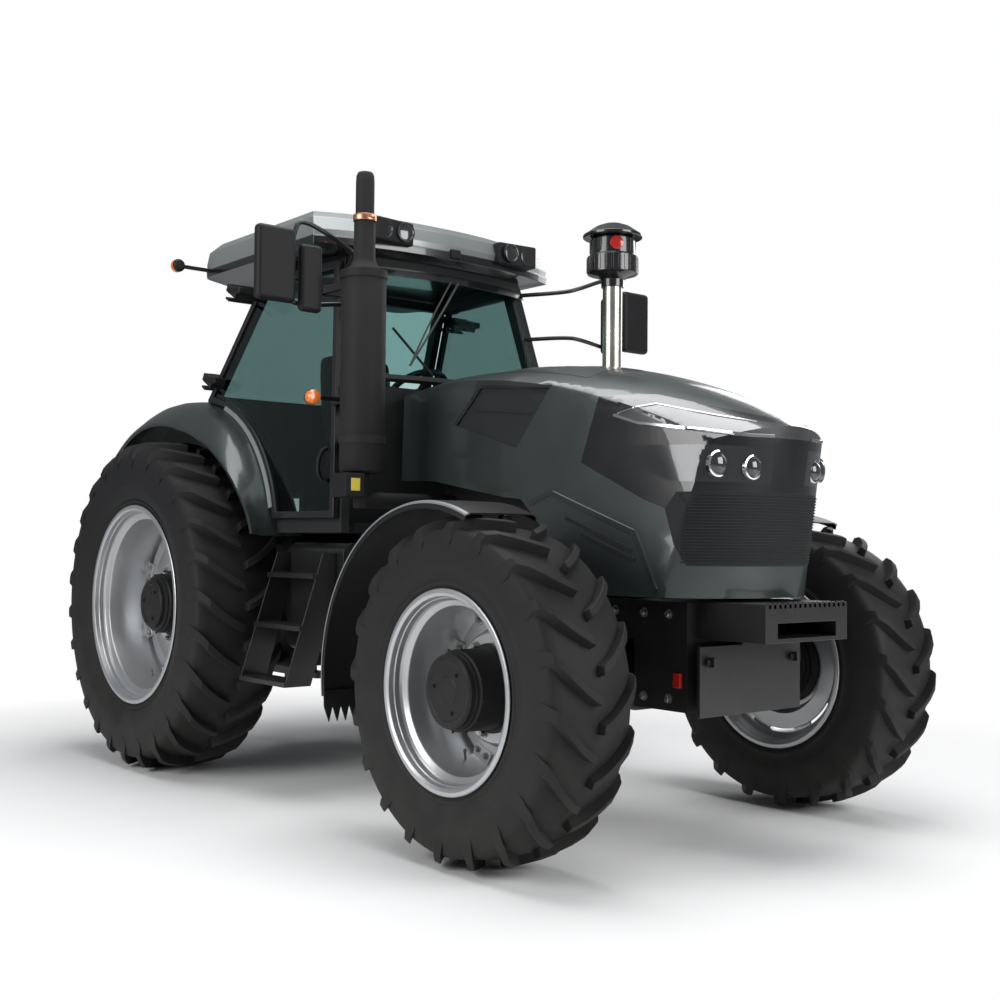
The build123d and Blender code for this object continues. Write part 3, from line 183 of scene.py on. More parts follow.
def dust_group():
    """Mask of dry dust, in patches, thicker near the ground."""
    group, given, out = new_group("Road Dust", [("Amount", 0.2), ("Top Height", 1.4)], ["Mask"])
    place = group.nodes.new("ShaderNodeTexCoord")
    split = group.nodes.new("ShaderNodeSeparateXYZ")
    group.links.new(place.outputs["Object"], split.inputs[0])
    patchy = group.nodes.new("ShaderNodeTexNoise")
    patchy.inputs["Scale"].default_value = 9.0
    patchy.inputs["Detail"].default_value = 6.0
    group.links.new(place.outputs["Object"], patchy.inputs["Vector"])
    share = group_math(group, "DIVIDE", split.outputs["Z"], given.outputs["Top Height"])
    low = group_math(group, "SUBTRACT", 1.0, share, True)
    spread = group_math(group, "MULTIPLY", low, patchy.outputs["Fac"])
    mask = group_math(group, "MULTIPLY", spread, given.outputs["Amount"], True)
    group.links.new(mask, out.inputs["Mask"])
    return group


def weave_group():
    """Small diagonal weave of seat cloth."""
    group, given, out = new_group("Cloth Weave", [("Scale", 260.0)], ["Height"])
    place = group.nodes.new("ShaderNodeTexCoord")
    heights = []
    for direction in ("X", "Z"):
        wave = group.nodes.new("ShaderNodeTexWave")
        wave.bands_direction = direction
        group.links.new(place.outputs["Object"], wave.inputs["Vector"])
        group.links.new(given.outputs["Scale"], wave.inputs["Scale"])
        heights.append(wave.outputs["Fac"])
    woven = group_math(group, "MAXIMUM", heights[0], heights[1])
    group.links.new(woven, out.inputs["Height"])
    return group


# colour, metallic, roughness, coat, coat roughness, grain scale, grain bump, colour variation, dust
FINISHES = {
    "body_paint": (None, 0.55, 0.34, 0.55, 0.08, 900.0, 0.02, 0.10, 0.6),
    "roof_paint": (None, 0.45, 0.36, 0.50, 0.10, 900.0, 0.02, 0.06, 0.0),
    "bezel_paint": ((0.034, 0.040, 0.041), 0.45, 0.30, 0.60, 0.06, 900.0, 0.02, 0.10, 0.3),
    "black_plastic": ((0.011, 0.011, 0.012), 0.0, 0.50, 0.0, 0.1, 700.0, 0.16, 0.25, 0.8),
    "matte_plastic": ((0.019, 0.020, 0.021), 0.0, 0.62, 0.0, 0.1, 500.0, 0.22, 0.22, 0.5),
    "gloss_black": ((0.006, 0.006, 0.007), 0.0, 0.22, 0.7, 0.04, 600.0, 0.01, 0.15, 0.2),
    "black_metal": ((0.010, 0.010, 0.011), 0.1, 0.38, 0.2, 0.18, 450.0, 0.05, 0.25, 0.9),
    "cast_black": ((0.012, 0.012, 0.013), 0.15, 0.52, 0.05, 0.3, 160.0, 0.30, 0.35, 1.0),
    "muffler_black": ((0.016, 0.016, 0.017), 0.0, 0.66, 0.0, 0.2, 350.0, 0.14, 0.30, 0.0),
    "rim_silver": (None, 0.75, 0.34, 0.25, 0.15, 700.0, 0.03, 0.08, 0.5),
    "tyre_rubber": ((0.0120, 0.0120, 0.0128), 0.0, 0.60, 0.0, 0.2, 240.0, 0.20, 0.30, 1.0),
    "chrome_pipe": ((0.60, 0.58, 0.52), 1.0, 0.24, 0.0, 0.1, 300.0, 0.04, 0.22, 0.0),
    "chrome_trim": ((0.78, 0.79, 0.80), 1.0, 0.10, 0.0, 0.1, 500.0, 0.01, 0.03, 0.0),
    "copper_clamp": ((0.62, 0.32, 0.20), 1.0, 0.33, 0.0, 0.1, 400.0, 0.06, 0.25, 0.0),
    # pale grey: the doors' lower trim, and the painted highlight along the front mudguards' outer edges
    "grey_trim": ((0.20, 0.215, 0.22), 0.1, 0.42, 0.1, 0.2, 500.0, 0.06, 0.10, 0.6),
    "amber_lens": ((0.80, 0.19, 0.02), 0.0, 0.22, 0.8, 0.05, 300.0, 0.02, 0.12, 0.0),
    "red_lens": ((0.42, 0.012, 0.010), 0.0, 0.20, 0.8, 0.05, 300.0, 0.02, 0.12, 0.0),
    "label_yellow": ((0.72, 0.58, 0.06), 0.0, 0.45, 0.1, 0.2, 400.0, 0.02, 0.08, 0.3),
    "bolt_zinc": ((0.34, 0.33, 0.31), 0.9, 0.36, 0.0, 0.1, 400.0, 0.06, 0.25, 0.3),
    "lens_dark": ((0.035, 0.037, 0.040), 0.3, 0.10, 1.0, 0.02, 300.0, 0.01, 0.10, 0.0),
    "lamp_silver": ((0.085, 0.088, 0.092), 0.5, 0.20, 1.0, 0.02, 90.0, 0.10, 0.45, 0.0),
    "mirror_silver": ((0.72, 0.74, 0.75), 1.0, 0.04, 0.0, 0.1, 200.0, 0.0, 0.02, 0.0),
    # near-black rubber for the wiper blade; the same finish draws the painted shade line along the rear
    # fenders' crease
    "seal_rubber": ((0.008, 0.008, 0.008), 0.0, 0.70, 0.0, 0.2, 500.0, 0.10, 0.20, 0.0),
    "cabin_grey": ((0.030, 0.031, 0.033), 0.0, 0.58, 0.0, 0.2, 500.0, 0.18, 0.20, 0.0),
}
DUST_COLOUR = (0.16, 0.145, 0.12)
finishes = {}


def new_material(name):
    """Empty finish under its name, with its node tree and shader."""
    material = bpy.data.materials.new(name)
    material.use_nodes = True
    finishes[name] = material
    return material.node_tree, material.node_tree.nodes["Principled BSDF"]


def place_group(tree, group, **values):
    """Shared group in a material, with this material's own values."""
    node = tree.nodes.new("ShaderNodeGroup")
    node.node_tree = group
    for label, value in values.items():
        node.inputs[label.replace("_", " ")].default_value = value
    return node


def mix_colour(tree, factor, first, second):
    """Mix of two colours; the first may be a socket."""
    node = tree.nodes.new("ShaderNodeMix")
    node.data_type = "RGBA"
    if isinstance(first, tuple):
        node.inputs["A"].default_value = (*first, 1)
    else:
        tree.links.new(first, node.inputs["A"])
    node.inputs["B"].default_value = (*second, 1)
    tree.links.new(factor, node.inputs["Factor"])
    return node.outputs["Result"]


def link_colour(tree, shader, colour, variation, grain, dust=None):
    """Base colour that varies broadly and pales where dust lies."""
    source = mix_colour(tree, grain.outputs["Variation"], tuple(c * (1 - variation) for c in colour),
                        tuple(min(1, c * (1 + variation)) for c in colour))
    if dust:
        source = mix_colour(tree, dust.outputs["Mask"], source, DUST_COLOUR)
    tree.links.new(source, shader.inputs["Base Color"])


def link_roughness(tree, shader, grain, low, high):
    """Roughness that varies broadly between two values."""
    spread = tree.nodes.new("ShaderNodeMapRange")
    spread.inputs["To Min"].default_value = low
    spread.inputs["To Max"].default_value = high
    tree.links.new(grain.outputs["Variation"], spread.inputs["Value"])
    tree.links.new(spread.outputs["Result"], shader.inputs["Roughness"])


def link_relief(tree, shader, height, strength, distance):
    """Bump from a group's height."""
    relief = tree.nodes.new("ShaderNodeBump")
    relief.inputs["Strength"].default_value = strength
    relief.inputs["Distance"].default_value = distance
    tree.links.new(height, relief.inputs["Height"])
    tree.links.new(relief.outputs["Normal"], shader.inputs["Normal"])


def make_finish(name, colour, groups, dust_amount):
    """Solid finish from its row of numbers, with grain, tone and dust from the shared groups."""
    _, metallic, rough, coat, coat_rough, scale, bump, variation, dust_share = FINISHES[name]
    tree, shader = new_material(name)
    shader.inputs["Metallic"].default_value = metallic
    shader.inputs["Specular IOR Level"].default_value = 0.22 if rough > 0.45 else 0.5
    shader.inputs["Coat Weight"].default_value = coat
    shader.inputs["Coat Roughness"].default_value = coat_rough
    grain = place_group(tree, groups["grain"], Scale=scale, Broad_Scale=5.0)
    dust = place_group(tree, groups["dust"], Amount=dust_amount * dust_share) if dust_share else None
    link_colour(tree, shader, colour, variation, grain, dust)
    link_roughness(tree, shader, grain, max(0.02, rough - 0.06), min(1.0, rough + 0.08))
    if bump:
        link_relief(tree, shader, grain.outputs["Height"], bump, 0.002)


def make_glass(name, colour, groups, ior):
    """Tinted glass, faintly uneven."""
    tree, shader = new_material(name)
    shader.inputs["Transmission Weight"].default_value = 1.0
    shader.inputs["IOR"].default_value = ior
    grain = place_group(tree, groups["grain"], Scale=30.0, Broad_Scale=2.0)
    link_colour(tree, shader, colour, 0.05, grain)
    link_roughness(tree, shader, grain, 0.0, 0.015)


def make_cloth(name, colour, groups):
    """Woven seat cloth with a soft sheen."""
    tree, shader = new_material(name)
    shader.inputs["Sheen Weight"].default_value = 0.25
    shader.inputs["Roughness"].default_value = 0.85
    link_colour(tree, shader, colour, 0.18, place_group(tree, groups["grain"]))
    weave = place_group(tree, groups["weave"])
    link_relief(tree, shader, weave.outputs["Height"], 0.35, 0.001)


# ---------------------------------------------------------------- mesh tools
def put(name, bm, material, body, bevel=0.0, angle=32.0, segments=2, subdivide=0):
    """Turn a bmesh into a shaded piece that rides on a body."""
    bmesh.ops.recalc_face_normals(bm, faces=bm.faces)
    mesh = bpy.data.meshes.new(name)
    bm.to_mesh(mesh)
    bm.free()
    for face in mesh.polygons:
        face.use_smooth = True
    mesh.set_sharp_from_angle(angle=math.radians(angle))
    piece = bpy.data.objects.new(name, mesh)
    bpy.context.scene.collection.objects.link(piece)
    for one in material if isinstance(material, (list, tuple)) else [material]:
        mesh.materials.append(finishes[one])
    if bevel:
        rounding = piece.modifiers.new("Rounding", "BEVEL")
        rounding.width = bevel
        rounding.segments = segments
        rounding.limit_method = "ANGLE"
        rounding.angle_limit = math.radians(angle)
        rounding.harden_normals = True
        rounding.use_clamp_overlap = True
    if subdivide:
        finer = piece.modifiers.new("Subdivision", "SUBSURF")
        finer.levels = subdivide
        finer.render_levels = subdivide
    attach(piece, body)
    return piece


def body_of_node(node):
    for body, members in frame["record"]["behaviour"]["bodies"].items():
        if node in members:
            return body
    raise ValueError(f"{node} belongs to no body")


def dress(node, material, bevel=0.0015, angle=32.0, pick=None, flat=True):
    """Piece that stands for a solid: the same form with merged flats, soft edges and a finish."""
    bm = bmesh.new()
    bm.from_mesh(frame["nodes"][node].data)
    bmesh.ops.remove_doubles(bm, verts=bm.verts, dist=2e-5)
    if flat:
        bmesh.ops.dissolve_limit(bm, angle_limit=math.radians(0.3), verts=bm.verts, edges=bm.edges)
    if pick:
        for face in bm.faces:
            face.material_index = pick(face.calc_center_median(), face.normal)
    piece = put(f"{node}_skin", bm, material, body_of_node(node), bevel, angle)
    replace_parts(piece, node)
    return piece


def span(side, near, far):
    """Lower and higher Y of a stretch between two half widths on one side."""
    return sorted((side * near, side * far))


def add_box(bm, low, high, turn=None):
    """Straight box between two corners, turned about its middle when asked."""
    low, high = Vector(low), Vector(high)
    middle = (low + high) / 2
    matrix = Matrix.Translation(middle)
    if turn:
        matrix = matrix @ turn
    matrix = matrix @ Matrix.Diagonal((*(high - low), 1.0))
    return bmesh.ops.create_cube(bm, size=1.0, matrix=matrix)


def add_lathe(bm, profile, origin, axis, segments=48, closed=False):
    """Surface turned about an axis from (along, radius) points."""
    frame_matrix = Vector(axis).to_track_quat("Z", "Y").to_matrix().to_4x4()
    frame_matrix.translation = Vector(origin)
    rings = []
    for along, radius in profile:
        if radius <= 1e-6:
            rings.append([bm.verts.new(frame_matrix @ Vector((0, 0, along)))])
            continue
        ring = []
        for step in range(segments):
            turn = 2 * math.pi * step / segments
            place = Vector((radius * math.cos(turn), radius * math.sin(turn), along))
            ring.append(bm.verts.new(frame_matrix @ place))
        rings.append(ring)
    pairs = list(zip(rings, rings[1:]))
    if closed:
        pairs.append((rings[-1], rings[0]))
    for first, second in pairs:
        for step in range(segments):
            after = (step + 1) % segments
            if len(first) == 1 and len(second) == 1:
                continue
            if len(first) == 1:
                bm.faces.new((first[0], second[after], second[step]))
            elif len(second) == 1:
                bm.faces.new((first[step], first[after], second[0]))
            else:
                bm.faces.new((first[step], first[after], second[after], second[step]))


def add_bolt(bm, place, axis, half, depth, sides=6):
    """Bolt head with a washer and a domed top."""
    washer = [(0, 0), (0, half * 1.5), (depth * 0.2, half * 1.5), (depth * 0.2, 0)]
    head = [(depth * 0.1, 0), (depth * 0.1, half), (depth * 0.85, half), (depth, half * 0.8), (depth, 0)]
    add_lathe(bm, washer, place, axis, 16)
    add_lathe(bm, head, place, axis, sides)


def pipe(name, points, radius, material, body):
    """Round bar that follows points in a smooth line."""
    curve = bpy.data.curves.new(name, "CURVE")
    curve.dimensions = "3D"
    curve.bevel_depth = radius
    curve.bevel_resolution = 3
    curve.use_fill_caps = True
    spline = curve.splines.new("NURBS")
    spline.points.add(len(points) - 1)
    for node, place in zip(spline.points, points):
        node.co = (*place, 1.0)
    spline.order_u = 3
    spline.use_endpoint_u = True
    spline.resolution_u = 8
    piece = bpy.data.objects.new(name, curve)
    bpy.context.scene.collection.objects.link(piece)
    curve.materials.append(finishes[material])
    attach(piece, body)
    return piece


def solid_tree(*nodes):
    """Search tree over the faces of some solids."""
    verts, faces = [], []
    for node in nodes:
        mesh = frame["nodes"][node].data
        start = len(verts)
        verts += [v.co.copy() for v in mesh.vertices]
        faces += [[start + i for i in p.vertices] for p in mesh.polygons]
    return BVHTree.FromPolygons(verts, faces)


def side_hit(tree, x, z, side):
    """Outermost place of a solid seen from one side, with its normal."""
    place, normal, _, _ = tree.ray_cast(Vector((x, side * 2.0, z)), Vector((0, -side, 0)))
    return (place, normal) if place else None


def front_hit(tree, y, z):
    """Foremost place of a solid with its normal."""
    place, normal, _, _ = tree.ray_cast(Vector((4.0, y, z)), Vector((-1, 0, 0)))
    return (place, normal) if place else None


def side_path(tree, outline, side, step=0.02):
    """Places on a solid's skin under an outline drawn from the side as (ahead, height)."""
    path = []

    def between(a, b, hit_a, hit_b, depth):
        if depth and (hit_a[0] - hit_b[0]).length > step:
            middle = ((a[0] + b[0]) / 2, (a[1] + b[1]) / 2)
            hit = side_hit(tree, ahead(middle[0]), middle[1], side)
            if hit:
                between(a, middle, hit_a, hit, depth - 1)
                between(middle, b, hit, hit_b, depth - 1)
                return
        path.append(hit_b)

    last = None
    for a, b in zip(outline, outline[1:]):
        hit_a = last or side_hit(tree, ahead(a[0]), a[1], side)
        hit_b = side_hit(tree, ahead(b[0]), b[1], side)
        if not (hit_a and hit_b):
            last = hit_b
            continue
        if not path:
            path.append(hit_a)
        between(a, b, hit_a, hit_b, 9)
        last = hit_b
    return path


def add_ridge(bm, path, width, height):
    """Raised strip that follows places on a skin, sunk a little into it."""
    sunk = 0.002
    rows = []
    for index, (place, normal) in enumerate(path):
        before = path[max(index - 1, 0)][0]
        after = path[min(index + 1, len(path) - 1)][0]
        along = (after - before).normalized()
        across = normal.cross(along).normalized()
        rows.append([bm.verts.new(place + across * s * width / 2 + normal * h) for s, h in
                     ((-1, -sunk), (-0.7, height), (0.7, height), (1, -sunk))])
    for first, second in zip(rows, rows[1:]):
        for k in range(4):
            bm.faces.new((first[k], first[(k + 1) % 4], second[(k + 1) % 4], second[k]))
    bm.faces.new(rows[0])
    bm.faces.new(rows[-1][::-1])


def ring_frame(bm, outer, inner, place, thick):
    """Closed frame between two outlines of equal count; place maps (ahead, height, depth) to 3-D."""
    loops = [[bm.verts.new(place(x, z, depth)) for x, z in outline]
             for outline, depth in ((outer, 0.0), (inner, 0.0), (inner, thick), (outer, thick))]
    count = len(outer)
    for k in range(4):
        first, second = loops[k], loops[(k + 1) % 4]
        for i in range(count):
            j = (i + 1) % count
            bm.faces.new((first[i], first[j], second[j], second[i]))


def plate(bm, outline, place, thick):
    """Closed plate over an outline; place maps (ahead, height, depth) to 3-D."""
    front = [bm.verts.new(place(x, z, 0.0)) for x, z in outline]
    back = [bm.verts.new(place(x, z, thick)) for x, z in outline]
    bm.faces.new(front)
    bm.faces.new(back[::-1])
    for i in range(len(outline)):
        j = (i + 1) % len(outline)
        bm.faces.new((front[i], front[j], back[j], back[i]))


def drawn_in(outline, distance):
    """Outline moved inwards by a distance, corner by corner."""
    area = sum(a[0] * b[1] - b[0] * a[1] for a, b in zip(outline, outline[1:] + outline[:1]))
    turn = 1.0 if area > 0 else -1.0
    moved = []
    for i, here in enumerate(outline):
        before, after = Vector(outline[i - 1]), Vector(outline[(i + 1) % len(outline)])
        here = Vector(here)
        first, second = (here - before).normalized(), (after - here).normalized()
        normal_a, normal_b = Vector((-first.y, first.x)) * turn, Vector((-second.y, second.x)) * turn
        both = normal_a + normal_b
        scale = 2.0 / max(0.35, both.length_squared)
        moved.append(tuple(here + both * scale * distance))
    return moved


def rounded(outline, radius, steps=4):
    """Outline with its corners rounded."""
    result = []
    for i, here in enumerate(outline):
        here = Vector(here)
        before, after = Vector(outline[i - 1]), Vector(outline[(i + 1) % len(outline)])
        back, fore = before - here, after - here
        if back.angle(fore) > math.radians(160):
            result.append(tuple(here))
            continue
        reach = min(radius, back.length * 0.45, fore.length * 0.45)
        start, end = here + back.normalized() * reach, here + fore.normalized() * reach
        for k in range(steps + 1):
            t = k / steps
            result.append(tuple(start * (1 - t) ** 2 + here * 2 * t * (1 - t) + end * t ** 2))
    return result


def skin_sheet(bm, rows, thick):
    """Sheet of a given thickness over rows of outer places, thickened against its normals."""
    count = len(rows[0])
    outer = [[Vector(p) for p in row] for row in rows]
    inner = []
    for i, row in enumerate(outer):
        line = []
        for j, place in enumerate(row):
            along = outer[min(i + 1, len(outer) - 1)][j] - outer[max(i - 1, 0)][j]
            across = row[min(j + 1, count - 1)] - row[max(j - 1, 0)]
            line.append(place - along.cross(across).normalized() * thick)
        inner.append(line)
    top, low = [[[bm.verts.new(p) for p in row] for row in grid] for grid in (outer, inner)]
    for grid in (top, low):
        for a, b in zip(grid, grid[1:]):
            for j in range(count - 1):
                bm.faces.new((a[j], a[j + 1], b[j + 1], b[j]))
    for i in range(len(rows) - 1):
        for j in (0, count - 1):
            bm.faces.new((top[i][j], top[i + 1][j], low[i + 1][j], low[i][j]))
    for i in (0, len(rows) - 1):
        for j in range(count - 1):
            bm.faces.new((top[i][j], top[i][j + 1], low[i][j + 1], low[i][j]))


# ---------------------------------------------------------------- wheels
def spoke(radius, angle, along):
    """Place in a wheel's space at an angle about its axle, seen from outboard."""
    return Vector((radius * math.sin(angle), along, radius * math.cos(angle)))


def wheel_matrix(wheel, side):
    """Wheel space: X ahead, Y outboard, Z up, from the wheel's own centre."""
    place = Matrix.Translation((wheel["x"], side * wheel["y"], wheel["tip"]))
    return place @ Matrix.Diagonal((1, side, 1, 1))


def put_on_wheel(name, bm, material, node, wheel, side, bevel=0.0, angle=32.0, replaces=True):
    """Piece made in wheel space and moved to its wheel."""
    piece = put(name, bm, material, body_of_node(node), bevel, angle)
    piece.data.transform(wheel_matrix(wheel, side))
    if replaces:
        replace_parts(piece, node)
    return piece


def tyre_profile(wheel):
    """Half section of a carcass, bead to crown, with its rim ridge and sidewall steps."""
    bulge, tread, crown, shoulder = wheel["bulge"], wheel["tread"], wheel["crown"], wheel["shoulder"]
    flange, ring = wheel["flange"], wheel["bulge_radius"]
    bead = wheel["rim_half"] - 0.0125
    deep, rise = ring - flange, shoulder - ring
    return [(bead, flange - 0.020), (bead, flange + 0.006), (bead + 0.010, flange + 0.016),
            (bead + 0.012, flange + 0.026), (bead + 0.007, flange + 0.032),
            (bulge - 0.014, flange + 0.36 * deep), (bulge - 0.005, flange + 0.60 * deep),
            (bulge - 0.003, flange + 0.63 * deep), (bulge - 0.001, flange + 0.80 * deep), (bulge, ring),
            (bulge - 0.002, ring + 0.3 * rise), (bulge - 0.007, ring + 0.6 * rise),
            (tread + 0.010, shoulder - 0.014), (tread - 0.002, shoulder),
            (0.8 * tread, shoulder + 0.35 * (crown - shoulder)), (0.4 * tread, crown - 0.004), (0, crown)]


def tread_bar(bm, wheel, row, start):
    """One tread bar from the middle of the tread, back and down over the shoulder."""
    bulge, tread, crown, shoulder = wheel["bulge"], wheel["tread"], wheel["crown"], wheel["shoulder"]
    tip, inner_end = wheel["tip"], 0.008
    # offset across the tread, foot radius, top radius, share of the width
    stations = [(inner_end, crown - 0.012, tip - 0.001, 0.92), (0.20 * tread, crown - 0.014, tip, 1.0),
                (0.42 * tread, crown - 0.016, tip - 0.003, 1.02),
                (0.66 * tread, crown - 0.020, tip - 0.007, 1.06),
                (0.86 * tread, shoulder - 0.012, tip - 0.014, 1.12),
                (tread + 0.006, shoulder - 0.020, shoulder + 0.026, 1.2),
                (bulge - 0.002, shoulder - 0.048, shoulder - 0.006, 1.26),
                (bulge - 0.001, shoulder - 0.10, shoulder - 0.066, 1.0)]
    rings = []
    for y, foot, top, share in stations:
        f = min(1.0, (y - inner_end) / (bulge - 0.006 - inner_end))
        angle = math.radians(start + wheel["turn"] * (1 - f - f * f))
        ring = []
        for radius, offset in ((foot, -1.0), (foot, 1.0), (top, 0.68), (top, -0.68)):
            swing = angle + offset * wheel["lug_half"] * share / radius
            ring.append(bm.verts.new(spoke(radius, swing, row * y)))
        rings.append(ring)
    for first, second in zip(rings, rings[1:]):
        for k in range(4):
            bm.faces.new((first[k], first[(k + 1) % 4], second[(k + 1) % 4], second[k]))
    bm.faces.new(rings[0])
    bm.faces.new(rings[-1][::-1])


def build_tyre(name, wheel, side, lug_edge):
    """Carcass and two staggered rows of tread bars."""
    bm = bmesh.new()
    half = tyre_profile(wheel)
    add_lathe(bm, half + [(-y, r) for y, r in reversed(half[:-1])], (0, 0, 0), (0, 1, 0), 96, closed=True)
    put_on_wheel(f"{name}_carcass", bm, "tyre_rubber", name, wheel, side, angle=40)
    bars = bmesh.new()
    for row, shift in ((-1, 0.0), (1, 0.5)):
        for number in range(wheel["lugs"]):
            tread_bar(bars, wheel, row, 360 / wheel["lugs"] * (number + shift))
    bars.transform(wheel_matrix(wheel, side))
    lugs = put(f"{name}_lugs", bars, "tyre_rubber", body_of_node(name), lug_edge, 28)
    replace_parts(lugs, name)


def build_rim(name, wheel, side, bolt):
    """Rolled rim, dished disc, brackets and their bolts."""
    half, flange, seat, well = wheel["rim_half"], wheel["flange"], wheel["seat"], wheel["well"]
    disc, edge, hub_flange = wheel["disc_y"], wheel["disc_radius"], wheel["hub_flange"]
    ledge = half - 0.012
    bm = bmesh.new()
    outer = [(half - 0.004, flange + 0.001), (ledge, flange - 0.006), (ledge, seat), (ledge - 0.048, seat),
             (ledge - 0.070, well)]
    inner = [(half, flange - 0.004), (half + 0.0005, seat + 0.006), (half - 0.006, seat - 0.006),
             (half - 0.028, seat - 0.010), (half - 0.030, seat - 0.014), (ledge - 0.040, seat - 0.016),
             (ledge - 0.050, seat - 0.022), (ledge - 0.064, well - 0.008), (ledge - 0.072, well - 0.011)]
    add_lathe(bm, outer + [(-y, r) for y, r in reversed(outer)] + [(-y, r) for y, r in inner] + inner[::-1],
              (0, 0, 0), (0, 1, 0), 96, closed=True)
    put_on_wheel(f"{name}_barrel", bm, "rim_silver", name, wheel, side, 0.0025, 24)
    bm = bmesh.new()
    bore = wheel["bore"] + 0.002
    dish_y, dish_back = disc - 0.060, disc - 0.074
    add_lathe(bm, [(disc, bore), (disc, hub_flange + 0.004), (disc - 0.006, hub_flange + 0.014),
                   (disc - 0.052, edge - 0.078), (dish_y, edge - 0.066), (dish_y, edge),
                   (dish_back, edge), (dish_back, edge - 0.076), (disc - 0.014, hub_flange),
                   (disc - 0.014, bore)], (0, 0, 0), (0, 1, 0), 80, closed=True)
    bracket_turns = [math.radians(22.5 + 45 * index) for index in range(8)]
    near, far, thick = (edge + well) / 2 - 0.014 - (well - edge + 0.046) / 2, well - 0.008, 0.013
    outline = rounded([(-0.055, near), (0.055, near), (0.050, far), (-0.050, far)], 0.012)
    for angle in bracket_turns:
        turn = Matrix.Rotation(angle, 4, "Y")
        plate(bm, outline, lambda x, z, d, m=turn: m @ Vector((x, dish_y + thick - d, z)), thick)
    put_on_wheel(f"{name}_disc", bm, "rim_silver", name, wheel, side, 0.002, 24)
    bm = bmesh.new()
    for turn in bracket_turns:
        for shift in (-0.030, 0.030):
            place = spoke(edge - 0.016, turn + shift / edge, disc - 0.047)
            add_bolt(bm, place, (0, 1, 0), bolt * 0.8, bolt * 1.2)
    for index in range(wheel["bolts"]):
        angle = math.radians(360 / wheel["bolts"] * (index + 0.3))
        add_bolt(bm, spoke(hub_flange - 0.024, angle, disc), (0, 1, 0), bolt, bolt * 1.7)
    angle = math.radians(205)
    valve = [(0, 0), (0, 0.006), (0.035, 0.005), (0.036, 0.007), (0.050, 0.007), (0.052, 0)]
    inward = (-math.sin(angle), 0.4, -math.cos(angle))
    add_lathe(bm, valve, spoke(well - 0.012, angle, disc + 0.02), inward, 12)
    put_on_wheel(f"{name}_bolts", bm, "bolt_zinc", name, wheel, side, 0.0, 30, replaces=False)


def build_hub(name, wheel, side, bolt):
    """Planetary hub with a bare round cap."""
    disc, cap, radius, barrel = wheel["disc_y"], wheel["hub_face"], wheel["hub_cap"], wheel["hub_barrel"]
    inner, hub_flange, bore = wheel["hub_inner"], wheel["hub_flange"] - 0.022, wheel["bore"] + 0.0002
    seat, neck = disc - 0.0145, barrel - 0.01
    profile = [(inner, bore), (inner, barrel), (disc - 0.040, barrel), (disc - 0.032, hub_flange),
               (seat, hub_flange), (seat, neck), (disc + 0.001, neck), (disc + 0.001, barrel + 0.016),
               (disc + 0.012, barrel + 0.016), (disc + 0.016, barrel), (cap - 0.052, barrel - 0.002),
               (cap - 0.046, neck), (cap - 0.034, barrel - 0.012), (cap - 0.030, radius),
               (cap - 0.010, radius - 0.002), (cap - 0.002, radius - 0.012), (cap, radius - 0.030),
               (cap - 0.004, radius - 0.036), (cap - 0.004, 0.062), (cap, 0.056), (cap, 0),
               (disc + 0.018, 0), (disc + 0.018, bore)]
    bm = bmesh.new()
    add_lathe(bm, profile, (0, 0, 0), (0, 1, 0), 72)
    put_on_wheel(f"{name}_body", bm, "cast_black", name, wheel, side, 0.0018, 24)
    bm = bmesh.new()
    for index in range(12):
        angle = math.radians(30 * index + 9)
        place = spoke(barrel - 0.0005, angle, cap - 0.056)
        add_bolt(bm, place, spoke(1.0, angle, 0.0), bolt * 0.35, bolt * 0.5)
    for index in range(3):
        angle = math.radians(120 * index + 40)
        add_bolt(bm, spoke(0.088, angle, cap - 0.004), (0, 1, 0), bolt * 0.5, bolt * 0.7)
    put_on_wheel(f"{name}_plugs", bm, "cast_black", name, wheel, side, 0.0, 30, replaces=False)


# ---------------------------------------------------------------- cab shape
def door_face(x, z):
    """Half width of the door's outer face."""
    return 1.160 - 0.060 * x - 0.165 * z


def hinge_line(z):
    """Distance ahead of the rear axle of the doors' hinge line."""
    return DOOR_HINGE_FOOT[0] + DOOR_HINGE_RUN * (z - DOOR_HINGE_FOOT[1])


def pillar_front(z):
    """Front edge of the windscreen pillar."""
    return 1.505 - 0.2265 * (z - FLOOR_LEVEL)


def side_place(side, face=0.0):
    """Map from (ahead, height, depth inboard) to the leaning side of the cab."""
    return lambda x, z, depth: Vector((ahead(x), side * (door_face(x, z) - face - depth), z))


def fender_x(z, radius):
    """Where a circle about the fender's centre meets a height."""
    return math.sqrt(radius ** 2 - (z - FENDER_CENTRE[1]) ** 2) + FENDER_CENTRE[0]


def cab_outline(front, top, low, rear, radius):
    """Side outline: front edge, roof edge, leaning rear edge and the fender's arc."""
    rear_foot = hinge_line(2.105) + rear
    foot_z = FENDER_CENTRE[1] + math.sqrt(radius ** 2 - (rear_foot - FENDER_CENTRE[0]) ** 2)
    middle_z = (top + foot_z) / 2
    levels = [low + (top - low) * k / 6 for k in range(7)]
    points = [(pillar_front(z) + front, z) for z in levels]
    points += [(hinge_line(z) + rear, z) for z in (top, middle_z, foot_z)]
    arc = [foot_z + (low - foot_z) * k / 12 for k in range(1, 13)]
    return points + [(fender_x(z, radius), z) for z in arc]


def screen_place(y, z, x_edge, half):
    """Place on a bowed screen: x at the pillars plus the bow at y."""
    bow = math.sqrt(SCREEN_BOW_RADIUS ** 2 - y * y) - math.sqrt(SCREEN_BOW_RADIUS ** 2 - half * half)
    return Vector((ahead(x_edge + bow), y, z))


def screen_row(z, lead, inset, steps):
    """Places across the cab at one height of a bowed screen."""
    x = pillar_front(z)
    half = door_face(x, z) - inset
    return [screen_place(half * k / steps, z, x + lead, half) for k in range(-steps, steps + 1)]


